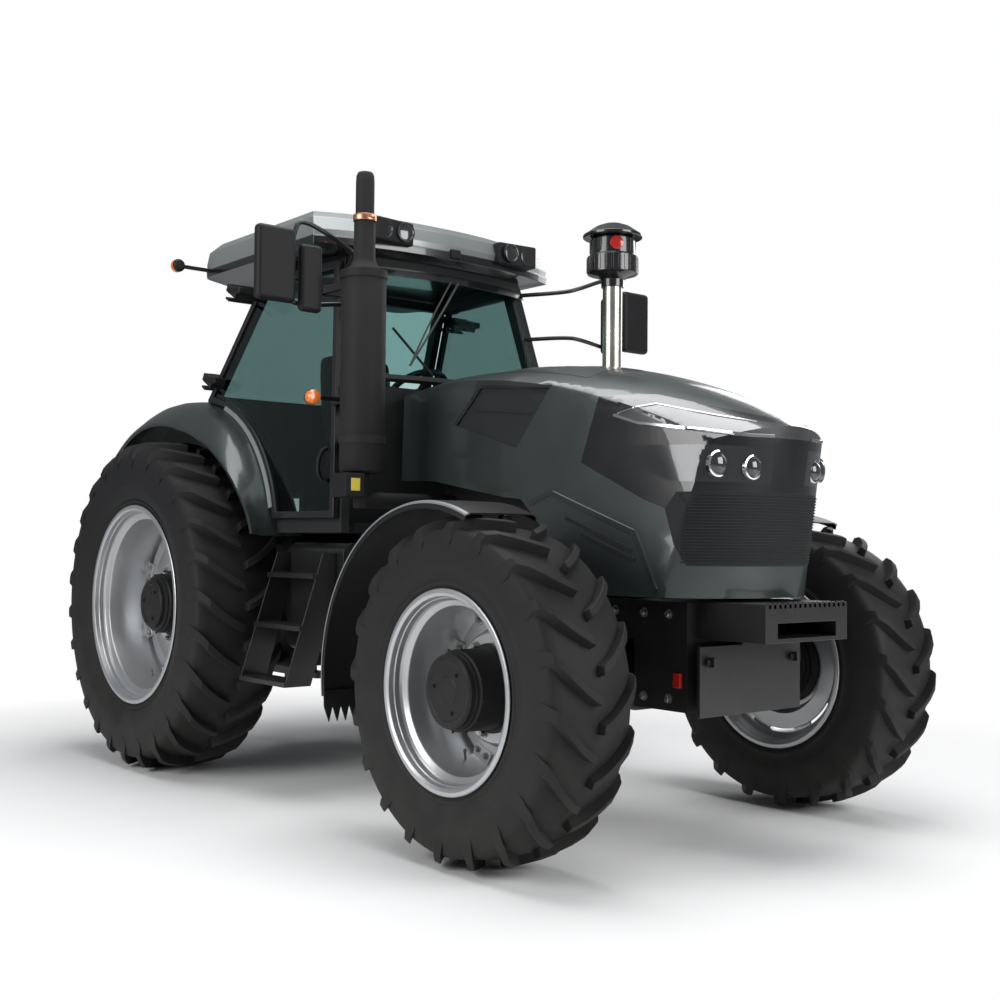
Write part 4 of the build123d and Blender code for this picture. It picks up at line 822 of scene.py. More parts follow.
# ---------------------------------------------------------------- operators
class TRACTOR_OT_finishes(bpy.types.Operator):
    """Make every paint, rubber, glass and cloth finish"""
    bl_idname = "tractor.finishes"
    bl_label = "Finishes"

    def execute(self, context):
        paint = context.scene.tractor_paint
        groups = {"grain": grain_group(), "dust": dust_group(), "weave": weave_group()}
        given = {"body_paint": paint.body, "roof_paint": paint.roof, "rim_silver": paint.rim}
        for name, row in FINISHES.items():
            make_finish(name, row[0] or tuple(given[name]), groups, paint.dust)
        make_glass("cab_tint", tuple(paint.glass), groups, 1.05)
        # door panes: the cab glass with its colour darkened to 0.45, painted shade
        make_glass("door_tint", tuple(c * 0.45 for c in paint.glass), groups, 1.25)
        make_cloth("seat_cloth", (0.030, 0.032, 0.036), groups)
        return {"FINISHED"}


class TRACTOR_OT_wheels(bpy.types.Operator):
    """Tyres, rims, bolts and hubs of all four wheels"""
    bl_idname = "tractor.wheels"
    bl_label = "Wheels"

    def execute(self, context):
        sizes = context.scene.tractor_wheels
        for end, wheel in (("front", FRONT_WHEEL), ("rear", REAR_WHEEL)):
            for side, word in SIDES:
                build_tyre(f"tyre_{end}_{word}", wheel, side, sizes.lug_edge)
                build_rim(f"rim_{end}_{word}", wheel, side, sizes.bolt_size)
                build_hub(f"hub_{end}_{word}", wheel, side, sizes.bolt_size)
        return {"FINISHED"}


class TRACTOR_OT_running_gear(bpy.types.Operator):
    """Castings, axle, links and frames below the body"""
    bl_idname = "tractor.running_gear"
    bl_label = "Running gear"

    def execute(self, context):
        edge = context.scene.tractor_trim.edge
        for node in ("engine_block", "front_frame", "transmission", "front_axle", "knuckle_left",
                     "knuckle_right"):
            dress(node, "cast_black", edge * 1.6)
        for node in ("drawbar", "tie_rod", "lift_arms", "lower_links", "lift_rods", "weight_carrier",
                     "steps", "side_tanks"):
            dress(node, "black_metal", edge)
        self.frame_bolts()
        self.carrier_details()
        return {"FINISHED"}

    def frame_bolts(self):
        """Bolt heads on both faces of the front frame."""
        low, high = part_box("front_frame")
        tree = solid_tree("front_frame")
        bm = bmesh.new()
        for side in (-1, 1):
            for back in (0.10, 0.24, 0.45):
                for z in (low.z + 0.05, high.z - 0.05):
                    hit = side_hit(tree, high.x - back, z, side)
                    if hit:
                        add_bolt(bm, hit[0], hit[1], 0.014, 0.018)
        put("frame_bolts", bm, "bolt_zinc", "chassis", angle=30)

    def carrier_details(self):
        """The guard plate's handles, the carrier's toothed edge and the reflector."""
        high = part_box("weight_carrier")[1]
        plate_x = ahead(3.435)
        bm = bmesh.new()
        for side in (-1, 1):
            y = side * 0.27
            add_box(bm, (plate_x, y - 0.012, 0.79), (ahead(3.462), y + 0.012, 0.83))
            add_box(bm, (plate_x, y - 0.03, 0.80), (ahead(3.446), y + 0.03, 0.82))
        for k in range(16):
            y = -0.24 + 0.032 * k
            add_box(bm, (high.x - 0.012, y - 0.009, high.z - 0.02), (high.x, y + 0.009, high.z + 0.004))
        put("carrier_teeth", bm, "black_metal", "chassis", 0.002)
        bm = bmesh.new()
        add_box(bm, (ahead(3.30), -0.352, 0.70), (ahead(3.34), -0.335, 0.76))
        put("front_reflector", bm, "red_lens", "chassis", 0.003)


class TRACTOR_OT_mudguards(bpy.types.Operator):
    """Front mudguards with a pale strip along the outer edge as painted highlight, and a toothed flap"""
    bl_idname = "tractor.mudguards"
    bl_label = "Front mudguards"

    def execute(self, context):
        centre, axle_z = FRONT_WHEEL["x"] - MUDGUARD_BACK, FRONT_WHEEL["tip"]
        turns = [math.radians(-8 + 120 * k / 40) for k in range(41)]
        section = ((0.832, 0.728), (0.836, 0.744), (0.856, 0.752), (1.015, 0.754), (1.172, 0.752),
                   (1.192, 0.744), (1.197, 0.722))

        def on_arc(angle, side, y, radius):
            return Vector((centre - radius * math.cos(angle), side * y, axle_z + radius * math.sin(angle)))

        for side, word in SIDES:
            node = f"front_mudguard_{word}"
            body = body_of_node(node)
            bm = bmesh.new()
            rows = [[on_arc(angle, side, y, r) for y, r in section][::side] for angle in turns]
            skin_sheet(bm, rows, -0.006)
            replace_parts(put(f"{node}_shell", bm, "black_plastic", body, 0.001), node)
            # pale strip along the rolled outer edge: a painted highlight, not a trim part
            bm = bmesh.new()
            path = [(on_arc(angle, side, 1.192, 0.750),
                     Vector((-math.cos(angle), side * 0.4, math.sin(angle))).normalized()) for angle in turns]
            add_ridge(bm, path, 0.020, 0.005)
            put(f"{node}_trim", bm, "grey_trim", body)
            self.flap(node, body, side, centre - 0.742)
            post_x, post_y, arm_z = FRONT_WHEEL["x"] - 0.175, 0.765, axle_z + 0.743
            bm = bmesh.new()
            low, high = span(side, post_y - 0.012, post_y + 0.012)
            add_box(bm, (post_x - 0.018, low, 0.720), (post_x + 0.018, high, arm_z))
            low, high = span(side, post_y - 0.012, 1.14)
            add_box(bm, (post_x - 0.018, low, arm_z - 0.024), (post_x + 0.018, high, arm_z + 0.003))
            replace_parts(put(f"{node}_stay", bm, "black_metal", body, 0.003), node)
        return {"FINISHED"}

    def flap(self, node, body, side, x):
        """Rubber flap whose lower edge is cut in teeth."""
        inner, outer, top, root, tip, tooth = 0.836, 1.192, 0.62, 0.55, 0.48, 0.044
        outline = [(inner, top), (outer, top), (outer, root)]
        for k in range(8):
            outline += [(outer - tooth * (k + 0.5), tip), (outer - tooth * (k + 1), root)]
        outline[-1] = (inner, root)
        bm = bmesh.new()
        plate(bm, outline, lambda y, z, d: Vector((x + d + 0.10 * max(0.0, 0.60 - z), side * y, z)), 0.006)
        put(f"{node}_flap", bm, "black_plastic", body)


# the hood's sections: ahead of the rear axle, half width, shoulder height and crown height
HOOD_SECTIONS = [(1.455, 0.398, 2.045, 2.108), (2.200, 0.425, 2.060, 2.165), (2.850, 0.425, 1.945, 2.075),
                 (3.300, 0.390, 1.800, 1.940)]


def hood_crown(x, y):
    """Height of the hood's crown, on a smooth line through its sections."""
    values = []
    for item in (1, 2, 3):
        total = 0.0
        for one in HOOD_SECTIONS:
            share = 1.0
            for other in HOOD_SECTIONS:
                if other is not one:
                    share *= (x - other[0]) / (one[0] - other[0])
            total += share * one[item]
        values.append(total)
    half, shoulder, top = values
    rise = top - shoulder
    radius = (half * half + rise * rise) / (2 * rise)
    return top - radius + math.sqrt(radius * radius - y * y)


def crown_rows(tree):
    """Rows of places that follow the hood's skin and bridge where it is open."""
    first_row, row_step, row_count = 1.462, 0.0205, 64
    step, steps, same_skin, proud = 0.0199, 16, 0.03, 0.0015
    rows = []
    for k in range(row_count):
        x = first_row + row_step * k
        offsets = []
        for j in range(steps + 1):
            height = hood_crown(x, step * j)
            near = []
            for sign in (-1, 1):
                hit = tree.ray_cast(Vector((ahead(x), sign * step * j, 3.5)), Vector((0, 0, -1)))[0]
                if hit and abs(hit.z - height) < same_skin:
                    near.append(hit.z)
            offsets.append(max(near) - height if near else None)
        for j in range(steps - 1, -1, -1):
            if offsets[j] is None:
                offsets[j] = offsets[j + 1]
        rows.append([(ahead(x), step * j, hood_crown(x, step * abs(j)) + (offsets[abs(j)] or 0.0) + proud)
                     for j in range(-steps, steps + 1)])
    return rows


class TRACTOR_OT_hood(bpy.types.Operator):
    """Hood, cheeks, vents, mask, grille bars and headlamps"""
    bl_idname = "tractor.hood"
    bl_label = "Hood and front"

    def execute(self, context):
        for node, finish, angle in (("hood", "body_paint", 28), ("hood_cheeks", "body_paint", 28),
                                    ("hood_vents", "matte_plastic", 32), ("front_mask", "gloss_black", 28),
                                    ("grille", "matte_plastic", 28)):
            dress(node, finish, 0.0, angle, flat=False)
        blade_foot = 1.705
        dress("headlamps", ["lens_dark", "lamp_silver"], 0.0, 28,
              lambda centre, normal: int(centre.z > blade_foot), False)
        skin = solid_tree("hood", "front_mask", "grille", "headlamps", "hood_cheeks")
        bm = bmesh.new()
        skin_sheet(bm, crown_rows(solid_tree("hood")), 0.008)
        put("hood_crown", bm, "body_paint", "hood", angle=60)
        self.louvres(skin, context.scene.tractor_trim.louvre_step)
        self.headlamps(skin)
        self.side_lines()
        return {"FINISHED"}

    def louvres(self, skin, step):
        """Fine level bars over the grille."""
        bm = bmesh.new()
        z = 1.215
        while z < 1.495:
            hits = [front_hit(skin, 0.0195 * k, z) for k in range(-21, 22)]
            path = [hit for hit in hits if hit and hit[0].x > ahead(3.30)]
            if len(path) > 3:
                add_ridge(bm, path, 0.0065, 0.0045)
            z += step
        put("grille_louvres", bm, "matte_plastic", "hood")

    def headlamps(self, skin):
        """Bright strips along the blades and two round lenses in each pod."""
        bright, pods = bmesh.new(), bmesh.new()
        for side in (-1, 1):
            strip = side_path(skin, [(3.02, 1.836), (3.15, 1.795), (3.45, 1.750), (3.60, 1.727)], side)
            strip = [hit for hit in strip if abs(hit[0].y) > 0.10]
            front = [front_hit(skin, side * y, 1.727) for y in (0.36, 0.30, 0.24, 0.18, 0.12)]
            add_ridge(bright, strip + [h for h in front if h and h[0].x > strip[-1][0].x], 0.016, 0.006)
            upper = side_path(skin, [(3.04, 1.842), (3.20, 1.874), (3.45, 1.815), (3.58, 1.787)], side)
            add_ridge(bright, upper, 0.007, 0.004)
            for y, z, size in ((0.33, 1.612, 0.046), (0.20, 1.600, 0.042)):
                hit = front_hit(skin, side * y, z)
                if hit:
                    axis = (hit[1] * 0.4 + Vector((1, 0, 0))).normalized()
                    base = hit[0] - axis * 0.012
                    rim = [(0, size + 0.008), (0.016, size + 0.008), (0.018, size + 0.002), (0.012, size)]
                    add_lathe(bright, rim, base, axis, 40, closed=True)
                    add_lathe(pods, [(0.0, size), (0.013, size), (0.022, size * 0.86), (0.031, size * 0.5),
                                     (0.034, 0)], base, axis, 40)
        put("headlamp_chrome", bright, "chrome_trim", "hood")
        put("headlamp_lenses", pods, "lens_dark", "hood")

    def side_lines(self):
        """Cheek grooves and raised edge, and the strips at the side vents."""
        dark, edge = bmesh.new(), bmesh.new()
        cheek, vents, hood = solid_tree("hood_cheeks"), solid_tree("hood_vents"), solid_tree("hood")
        for side in (-1, 1):
            for bm, tree, line, width, height in (
                    (dark, cheek, [(2.76, 1.40), (3.16, 1.26)], 0.020, 0.003),
                    (dark, cheek, [(2.86, 1.33), (3.18, 1.22)], 0.020, 0.003),
                    (edge, cheek, [(2.52, 1.468), (2.66, 1.512), (3.16, 1.336), (3.30, 1.10)], 0.030,
                     0.007),
                    (edge, hood, [(1.912, 1.866), (2.118, 2.040), (2.634, 1.996)], 0.010, 0.003),
                    (dark, vents, [(2.05, 1.93), (2.50, 1.88)], 0.008, 0.004)):
                path = side_path(tree, line, side)
                if len(path) > 2:
                    add_ridge(bm, path, width, height)
        put("cheek_grooves", dark, "matte_plastic", "hood")
        put("cheek_raised", edge, "bezel_paint", "hood")


class TRACTOR_OT_cab(bpy.types.Operator):
    """Leaning cab sides, pillars, floor, bowed screens and the hood's hinge arms"""
    bl_idname = "tractor.cab"
    bl_label = "Cab frame and screens"

    def execute(self, context):
        bm = bmesh.new()
        self.side_frames(bm)
        wall = 0.70
        # floor, riser, platform, rear wall and front wall: ahead from and to, half width, heights
        for rear, front, half, low, high in (
                (0.960, 1.465, wall, FLOOR_LEVEL, 1.380), (0.920, 0.960, CAB_INNER, FLOOR_LEVEL, 1.600),
                (0.030, 0.960, CAB_INNER, PLATFORM_LEVEL, 1.600),
                (0.030, 0.070, CAB_INNER, PLATFORM_LEVEL, 2.120), (1.345, 1.385, wall, FLOOR_LEVEL, 2.100)):
            add_box(bm, (ahead(rear), -half, low), (ahead(front), half, high))
        for low, high in ((SILL_TOP - 0.026, SILL_TOP), (HEADER_LEVEL, CAB_TOP)):
            skin_sheet(bm, [screen_row(z, -0.004, 0.055, 12) for z in (low, high)], 0.045)
        for z in (2.085, HEADER_LEVEL):
            x = hinge_line(z + 0.025) - 0.040
            half = door_face(x, z) - 0.05
            add_box(bm, (ahead(x), -half, z), (ahead(x + 0.05), half, z + 0.05))
        self.hood_arms(bm)
        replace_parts(put("cab_shell", bm, "matte_plastic", "chassis", 0.003, 30), "cab_frame")
        bm = bmesh.new()
        skin_sheet(bm, [screen_row(2.145 + 0.605 * k / 6, -0.003, 0.060, 16) for k in range(7)], 0.005)
        rows = []
        for z in (2.750, 2.130):
            x = hinge_line(z) - 0.025
            half = door_face(x, z) - 0.06
            rows.append([(ahead(x), -half + 2 * half * j / 4, z) for j in range(5)])
        skin_sheet(bm, rows, 0.005)
        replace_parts(put("cab_screens", bm, "cab_tint", "chassis", angle=40), "cab_glass")
        return {"FINISHED"}

    def side_frames(self, bm):
        """Frames round both door openings, with ears for the doors' hinges."""
        lean = Matrix.Rotation(math.atan(DOOR_HINGE_RUN), 4, "Y")
        for side in (-1, 1):
            outer = cab_outline(0.0, CAB_TOP, FLOOR_LEVEL, -0.045, 1.1425)
            inner = cab_outline(-0.075, 2.735, 1.425, 0.030, 1.1900)
            ring_frame(bm, outer, inner, side_place(side, 0.040), 0.050)
            for z in DOOR_HINGE_HEIGHTS:
                low, high = span(side, door_face(hinge_line(z), z) - 0.075, 0.845)
                for middle_z in (z - 0.033, z + 0.033):
                    x = ahead(hinge_line(middle_z))
                    add_box(bm, (x - 0.030, low, middle_z - 0.007), (x + 0.014, high, middle_z + 0.007),
                            lean)

    def hood_arms(self, bm):
        """Arms that carry the hood's hinge pins."""
        x, z = HOOD_HINGE
        for side in (-1, 1):
            low, high = span(side, 0.192, 0.212)
            add_box(bm, (ahead(1.37), low, 1.980), (ahead(x), high, 2.030))
            for near, radius, segments in ((0.160, 0.0115, 20), (0.192, 0.024, 24)):
                low, high = span(side, near, 0.212)
                profile = [(low, 0), (low, radius), (high, radius), (high, 0)]
                add_lathe(bm, profile, (ahead(x), 0, z), (0, 1, 0), segments)


class TRACTOR_OT_doors(bpy.types.Operator):
    """Doors with tinted panes darkened as painted shade, hinge covers, handles and pale lower trim"""
    bl_idname = "tractor.doors"
    bl_label = "Doors"

    def execute(self, context):
        lean = math.atan(DOOR_HINGE_RUN)
        for side, word in SIDES:
            body = body_of_node(f"door_{word}")
            place = side_place(side)
            outer = cab_outline(-0.010, 2.775, 1.405, 0.022, 1.157)
            frame_bm, covers = bmesh.new(), bmesh.new()
            ring_frame(frame_bm, outer, drawn_in(outer, 0.036), place, 0.032)
            for z in DOOR_HINGE_HEIGHTS:
                x = ahead(hinge_line(z))
                half = door_face(hinge_line(z), z)
                low, high = span(side, half - 0.020, 0.862)
                add_box(frame_bm, (x - 0.008, low, z - 0.023), (x + 0.110, high, z + 0.023),
                        Matrix.Rotation(lean, 4, "Y"))
                low, high = span(side, half - 0.002, 0.866)
                add_box(covers, (x + 0.010, low, z - 0.020), (x + 0.150, high, z + 0.020),
                        Matrix.Rotation(lean * 0.3, 4, "Y"))
            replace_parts(put(f"door_{word}_frame", frame_bm, "black_metal", body, 0.004, 30), f"door_{word}")
            put(f"door_{word}_hinge_covers", covers, "black_plastic", body, 0.012, 30, 4)
            bm = bmesh.new()
            plate(bm, drawn_in(outer, 0.026), side_place(side, 0.010), 0.005)
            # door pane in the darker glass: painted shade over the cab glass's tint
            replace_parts(put(f"door_{word}_pane", bm, "door_tint", body, angle=20), f"door_glass_{word}")
            bm = bmesh.new()
            foot = [p for p in outer if p[1] < 2.05 and p[0] < 0.94]
            path = [(place(x, z, -0.001), Vector((0.3, side, 0.2)).normalized()) for x, z in foot[:-1]]
            add_ridge(bm, path, 0.030, 0.006)
            put(f"door_{word}_trim", bm, "grey_trim", body)
            grip = [place(1.350, 1.60, -0.004), place(1.350, 1.61, -0.045), place(1.340, 1.75, -0.045),
                    place(1.340, 1.76, -0.004)]
            pipe(f"door_{word}_handle", grip, 0.011, "black_plastic", body)
        return {"FINISHED"}


def roof_ring(front, side_inset, z):
    """Plan outline of the roof, drawn in at the front and the sides."""
    half, rear, nose = 0.808 - side_inset, -0.060 + front * 0.5, 1.360 - front
    corner, rounding = nose - 0.155, 0.10
    points = []
    for k in range(21):
        y = -half + 2 * half * k / 20
        points.append((nose - (nose - corner) * (abs(y) / half) ** 2.4, y))
    points += [(corner - rounding + rounding * math.cos(math.radians(15 * k)), half) for k in range(1, 7)]
    points += [(corner - rounding - (corner - 0.20 - rear) * k / 6, half) for k in range(1, 7)]
    for k in range(1, 5):
        angle = math.radians(90 * k / 4)
        points.append((rear + rounding * (1 - math.sin(angle)), half - rounding * (1 - math.cos(angle))))
    points += [(rear, (half - rounding) * (1 - k / 3)) for k in range(1, 3)]
    ring = []
    for x, y in points + [(x, -y) for x, y in points[21:]][::-1]:
        if not ring or (abs(ring[-1][0] - x) + abs(ring[-1][1] - y)) > 1e-4:
            ring.append((x, y))
    return [Vector((ahead(x), y, z)) for x, y in ring]


class TRACTOR_OT_roof(bpy.types.Operator):
    """Roof cap with its dark fascia, work lamps, sun visor and wiper"""
    bl_idname = "tractor.roof"
    bl_label = "Roof and work lamps"

    def execute(self, context):
        # height, then how far the front and the sides are drawn in; the first ones are dark
        layers = [(2.800, 0.080, 0.180), (2.802, 0.045, 0.160), (2.835, 0.0, 0.0), (2.872, -0.002, -0.002),
                  (2.880, 0.004, 0.002), (2.910, 0.0, 0.0), (2.980, 0.024, 0.010), (3.030, 0.105, 0.060),
                  (3.046, 0.260, 0.210)]
        dark_layers = 4
        bm = bmesh.new()
        rings = [[bm.verts.new(p) for p in roof_ring(front, side, z)] for z, front, side in layers]
        for level, (a, b) in enumerate(zip(rings, rings[1:])):
            for k in range(len(a)):
                j = (k + 1) % len(a)
                bm.faces.new((a[k], a[j], b[j], b[k])).material_index = int(level < dark_layers)
        bm.faces.new(rings[-1])
        bm.faces.new(rings[0][::-1]).material_index = 1
        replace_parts(put("roof_cap", bm, ["roof_paint", "gloss_black"], "chassis", 0.004, 20, 3), "roof")
        self.work_lamps()
        bm = bmesh.new()
        visor_rows = []
        for z, lead in ((2.71, 0.035), (2.745, 0.03), (2.80, 0.02)):
            x = pillar_front(z) + lead
            half = door_face(x, z) - 0.03
            visor_rows.append([screen_place(half * k / 12, z, x, half) for k in range(-12, 13)])
        skin_sheet(bm, visor_rows, 0.006)
        put("sun_visor", bm, "gloss_black", "chassis", 0.001)
        self.wiper()
        return {"FINISHED"}

    def work_lamps(self):
        """Two lamp housings with two round lamps each, and the small box between them."""
        glass, bowls, black = bmesh.new(), bmesh.new(), bmesh.new()
        for side in (-1, 1):
            low, high = span(side, 0.300, 0.560)
            add_box(black, (ahead(1.26), low, 2.862), (ahead(1.395), high, 2.985),
                    Matrix.Rotation(side * -0.10, 4, "Z"))
            for y in (0.365, 0.492):
                place = (ahead(1.392 - (y - 0.43) * 0.10), side * y, WORK_LAMP_LEVEL)
                facing = (1, side * 0.10, 0)
                add_lathe(bowls, [(0, 0.052), (0.012, 0.052), (0.014, 0.045), (-0.02, 0.020), (-0.02, 0)],
                          place, facing, 32)
                add_lathe(glass, [(0, 0.044), (0.008, 0.044), (0.012, 0.03), (0.013, 0)], place, facing, 32)
        add_box(black, (ahead(1.30), -0.035, 2.84), (ahead(1.375), 0.035, 2.895))
        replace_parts(put("work_lamp_housings", black, "black_plastic", "chassis", 0.012, 30, 4), "work_lamps")
        put("work_lamp_bowls", bowls, "bezel_paint", "chassis")
        put("work_lamp_lenses", glass, "lens_dark", "chassis")

    def wiper(self):
        """Wiper of two arms and a blade that hangs from the header."""
        def before_screen(y, z, half, lead):
            return screen_place(y, z, pillar_front(z), half) + Vector((lead, 0, 0))

        base, tip = before_screen(0.05, 2.72, 0.62, 0.035), before_screen(-0.33, 2.22, 0.68, 0.012)
        middle, beside = base.lerp(tip, 0.5) + Vector((0.02, 0, 0)), Vector((0, -0.05, 0))
        pipe("wiper_arm", [base, middle, tip], 0.006, "black_metal", "chassis")
        pipe("wiper_arm_second", [base + beside, middle + beside, tip], 0.005, "black_metal", "chassis")
        low, end = before_screen(-0.40, 2.42, 0.67, 0.010), before_screen(-0.20, 2.175, 0.68, 0.010)
        blade = [low, low.lerp(end, 0.5) + Vector((0.002, 0, 0)), end]
        pipe("wiper_blade", blade, 0.007, "seal_rubber", "chassis")


def cushion(name, low, high, lean=0.0):
    """Padded piece with a crown, drawn-in corners and two sewn channels."""
    low, high = Vector(low), Vector(high)
    bm = bmesh.new()
    add_box(bm, low, high)
    bmesh.ops.subdivide_edges(bm, edges=bm.edges, cuts=7, use_grid_fill=True)
    middle, half = (low + high) / 2, (high - low) / 2
    thin = min(range(3), key=lambda i: half[i])
    for vert in bm.verts:
        share = [(vert.co[i] - middle[i]) / half[i] for i in range(3)]
        first, second = [share[i] for i in range(3) if i != thin]
        puff = (1 - first ** 4) * (1 - second ** 4)
        channel = 1.0 - 0.30 * math.exp(-((abs(first) - 0.62) / 0.05) ** 2)
        vert.co[thin] = middle[thin] + share[thin] * half[thin] * (0.72 + 0.28 * puff) * channel
        for i in range(3):
            if i != thin:
                vert.co[i] = middle[i] + share[i] * half[i] * (1 - 0.06 * abs(first * second) ** 3)
        vert.co.x += lean * (vert.co.z - middle.z)
    piece = put(name, bm, "seat_cloth", "chassis", angle=80, subdivide=1)
    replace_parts(piece, "seat")


class TRACTOR_OT_cabin(bpy.types.Operator):
    """Padded seat, console and steering wheel"""
    bl_idname = "tractor.cabin"
    bl_label = "Seat and console"

    def execute(self, context):
        cushion("seat_cushion", (ahead(0.385), -0.240, 1.845), (ahead(0.855), 0.240, 1.955))
        cushion("seat_back", (ahead(0.345), -0.230, 1.940), (ahead(0.455), 0.230, 2.400), -0.10)
        cushion("seat_headrest", (ahead(0.325), -0.130, 2.410), (ahead(0.405), 0.130, 2.500), -0.05)
        bm = bmesh.new()
        add_box(bm, (ahead(0.47), -0.18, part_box("seat")[0].z), (ahead(0.80), 0.18, 1.70))
        add_box(bm, (ahead(0.42), -0.21, 1.70), (ahead(0.83), 0.21, 1.85))
        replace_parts(put("seat_base", bm, "cabin_grey", "chassis", 0.012, 30, 3), "seat")
        dress("steering_console", "cabin_grey", 0.006)
        return {"FINISHED"}


class TRACTOR_OT_fenders(bpy.types.Operator):
    """Rear fenders with a crown, a dark strip along the crease as painted shade, and lamps behind"""
    bl_idname = "tractor.fenders"
    bl_label = "Rear fenders"

    def execute(self, context):
        shells, crease_shade = bmesh.new(), bmesh.new()
        for side in (-1, 1):
            rows, line = [], []
            for k in range(53):
                angle = FENDER_START + FENDER_SPAN * k / 52
                turn = math.radians(angle)
                row = [self.on_arc(turn, side, y, r) for y, r in self.section(angle)]
                line.append((row[5], Vector((math.cos(turn), side * 0.6, math.sin(turn))).normalized()))
                rows.append(row[::-side])
            skin_sheet(shells, rows, -0.007)
            # near-black strip along the crease: painted shade where the fender's surface turns, not a part
            add_ridge(crease_shade, line, 0.012, 0.0015)
            wall = [self.on_arc(math.radians(FENDER_START + FENDER_SPAN * k / 40), side, 0.0, 1.139)
                    for k in range(41)]
            plate(shells, [(p.x, p.z) for p in wall],
                  lambda x, z, d, s=side: Vector((x, s * (0.700 + d), z)), 0.012)
        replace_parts(put("rear_fender_shells", shells, "body_paint", "chassis", 0.001, 32), "rear_fenders")
        # the crease strips in near-black are painted shade
        put("rear_fender_crease_shade", crease_shade, "seal_rubber", "chassis")
        bm = bmesh.new()
        for side in (-1, 1):
            low, high = span(side, 0.80, 0.98)
            add_box(bm, (ahead(-1.13), low, 1.46), (ahead(-1.075), high, 1.55),
                    Matrix.Rotation(0.35, 4, "Y"))
        put("tail_lamps", bm, "red_lens", "chassis", 0.008, 30, 3)
        return {"FINISHED"}

    def section(self, angle):
        """Half widths and radii of the fender at an angle, from the wall to the rolled edge."""
        # angle, radius of the crease, radius of the outer edge
        table = [(18, 1.142, 1.190), (30, 1.132, 1.134), (45, 1.116, 1.072), (60, 1.098, 1.024),
                 (75, 1.086, 0.998), (90, 1.086, 1.004), (104, 1.088, 1.020), (128, 1.092, 1.040),
                 (150, 1.096, 1.060)]
        a = max(i for i in range(len(table) - 1) if table[i][0] <= angle)
        t = (angle - table[a][0]) / (table[a + 1][0] - table[a][0])
        crease, edge = [table[a][k] + t * (table[a + 1][k] - table[a][k]) for k in (1, 2)]
        edge = min(edge, crease + 0.03)
        return [(0.700, 1.138), (0.712, 1.1405), (0.780, 1.1405), (0.850, 1.132),
                (0.905, (1.132 + crease) / 2 + 0.004), (0.945, crease),
                (0.975, crease * 0.62 + edge * 0.38), (1.002, crease * 0.3 + edge * 0.7), (1.014, edge),
                (1.012, edge - 0.012)]

    def on_arc(self, turn, side, y, radius):
        """Place on a circle about the fender's centre."""
        x, z = FENDER_CENTRE
        return Vector((ahead(x + radius * math.cos(turn)), side * y, z + radius * math.sin(turn)))


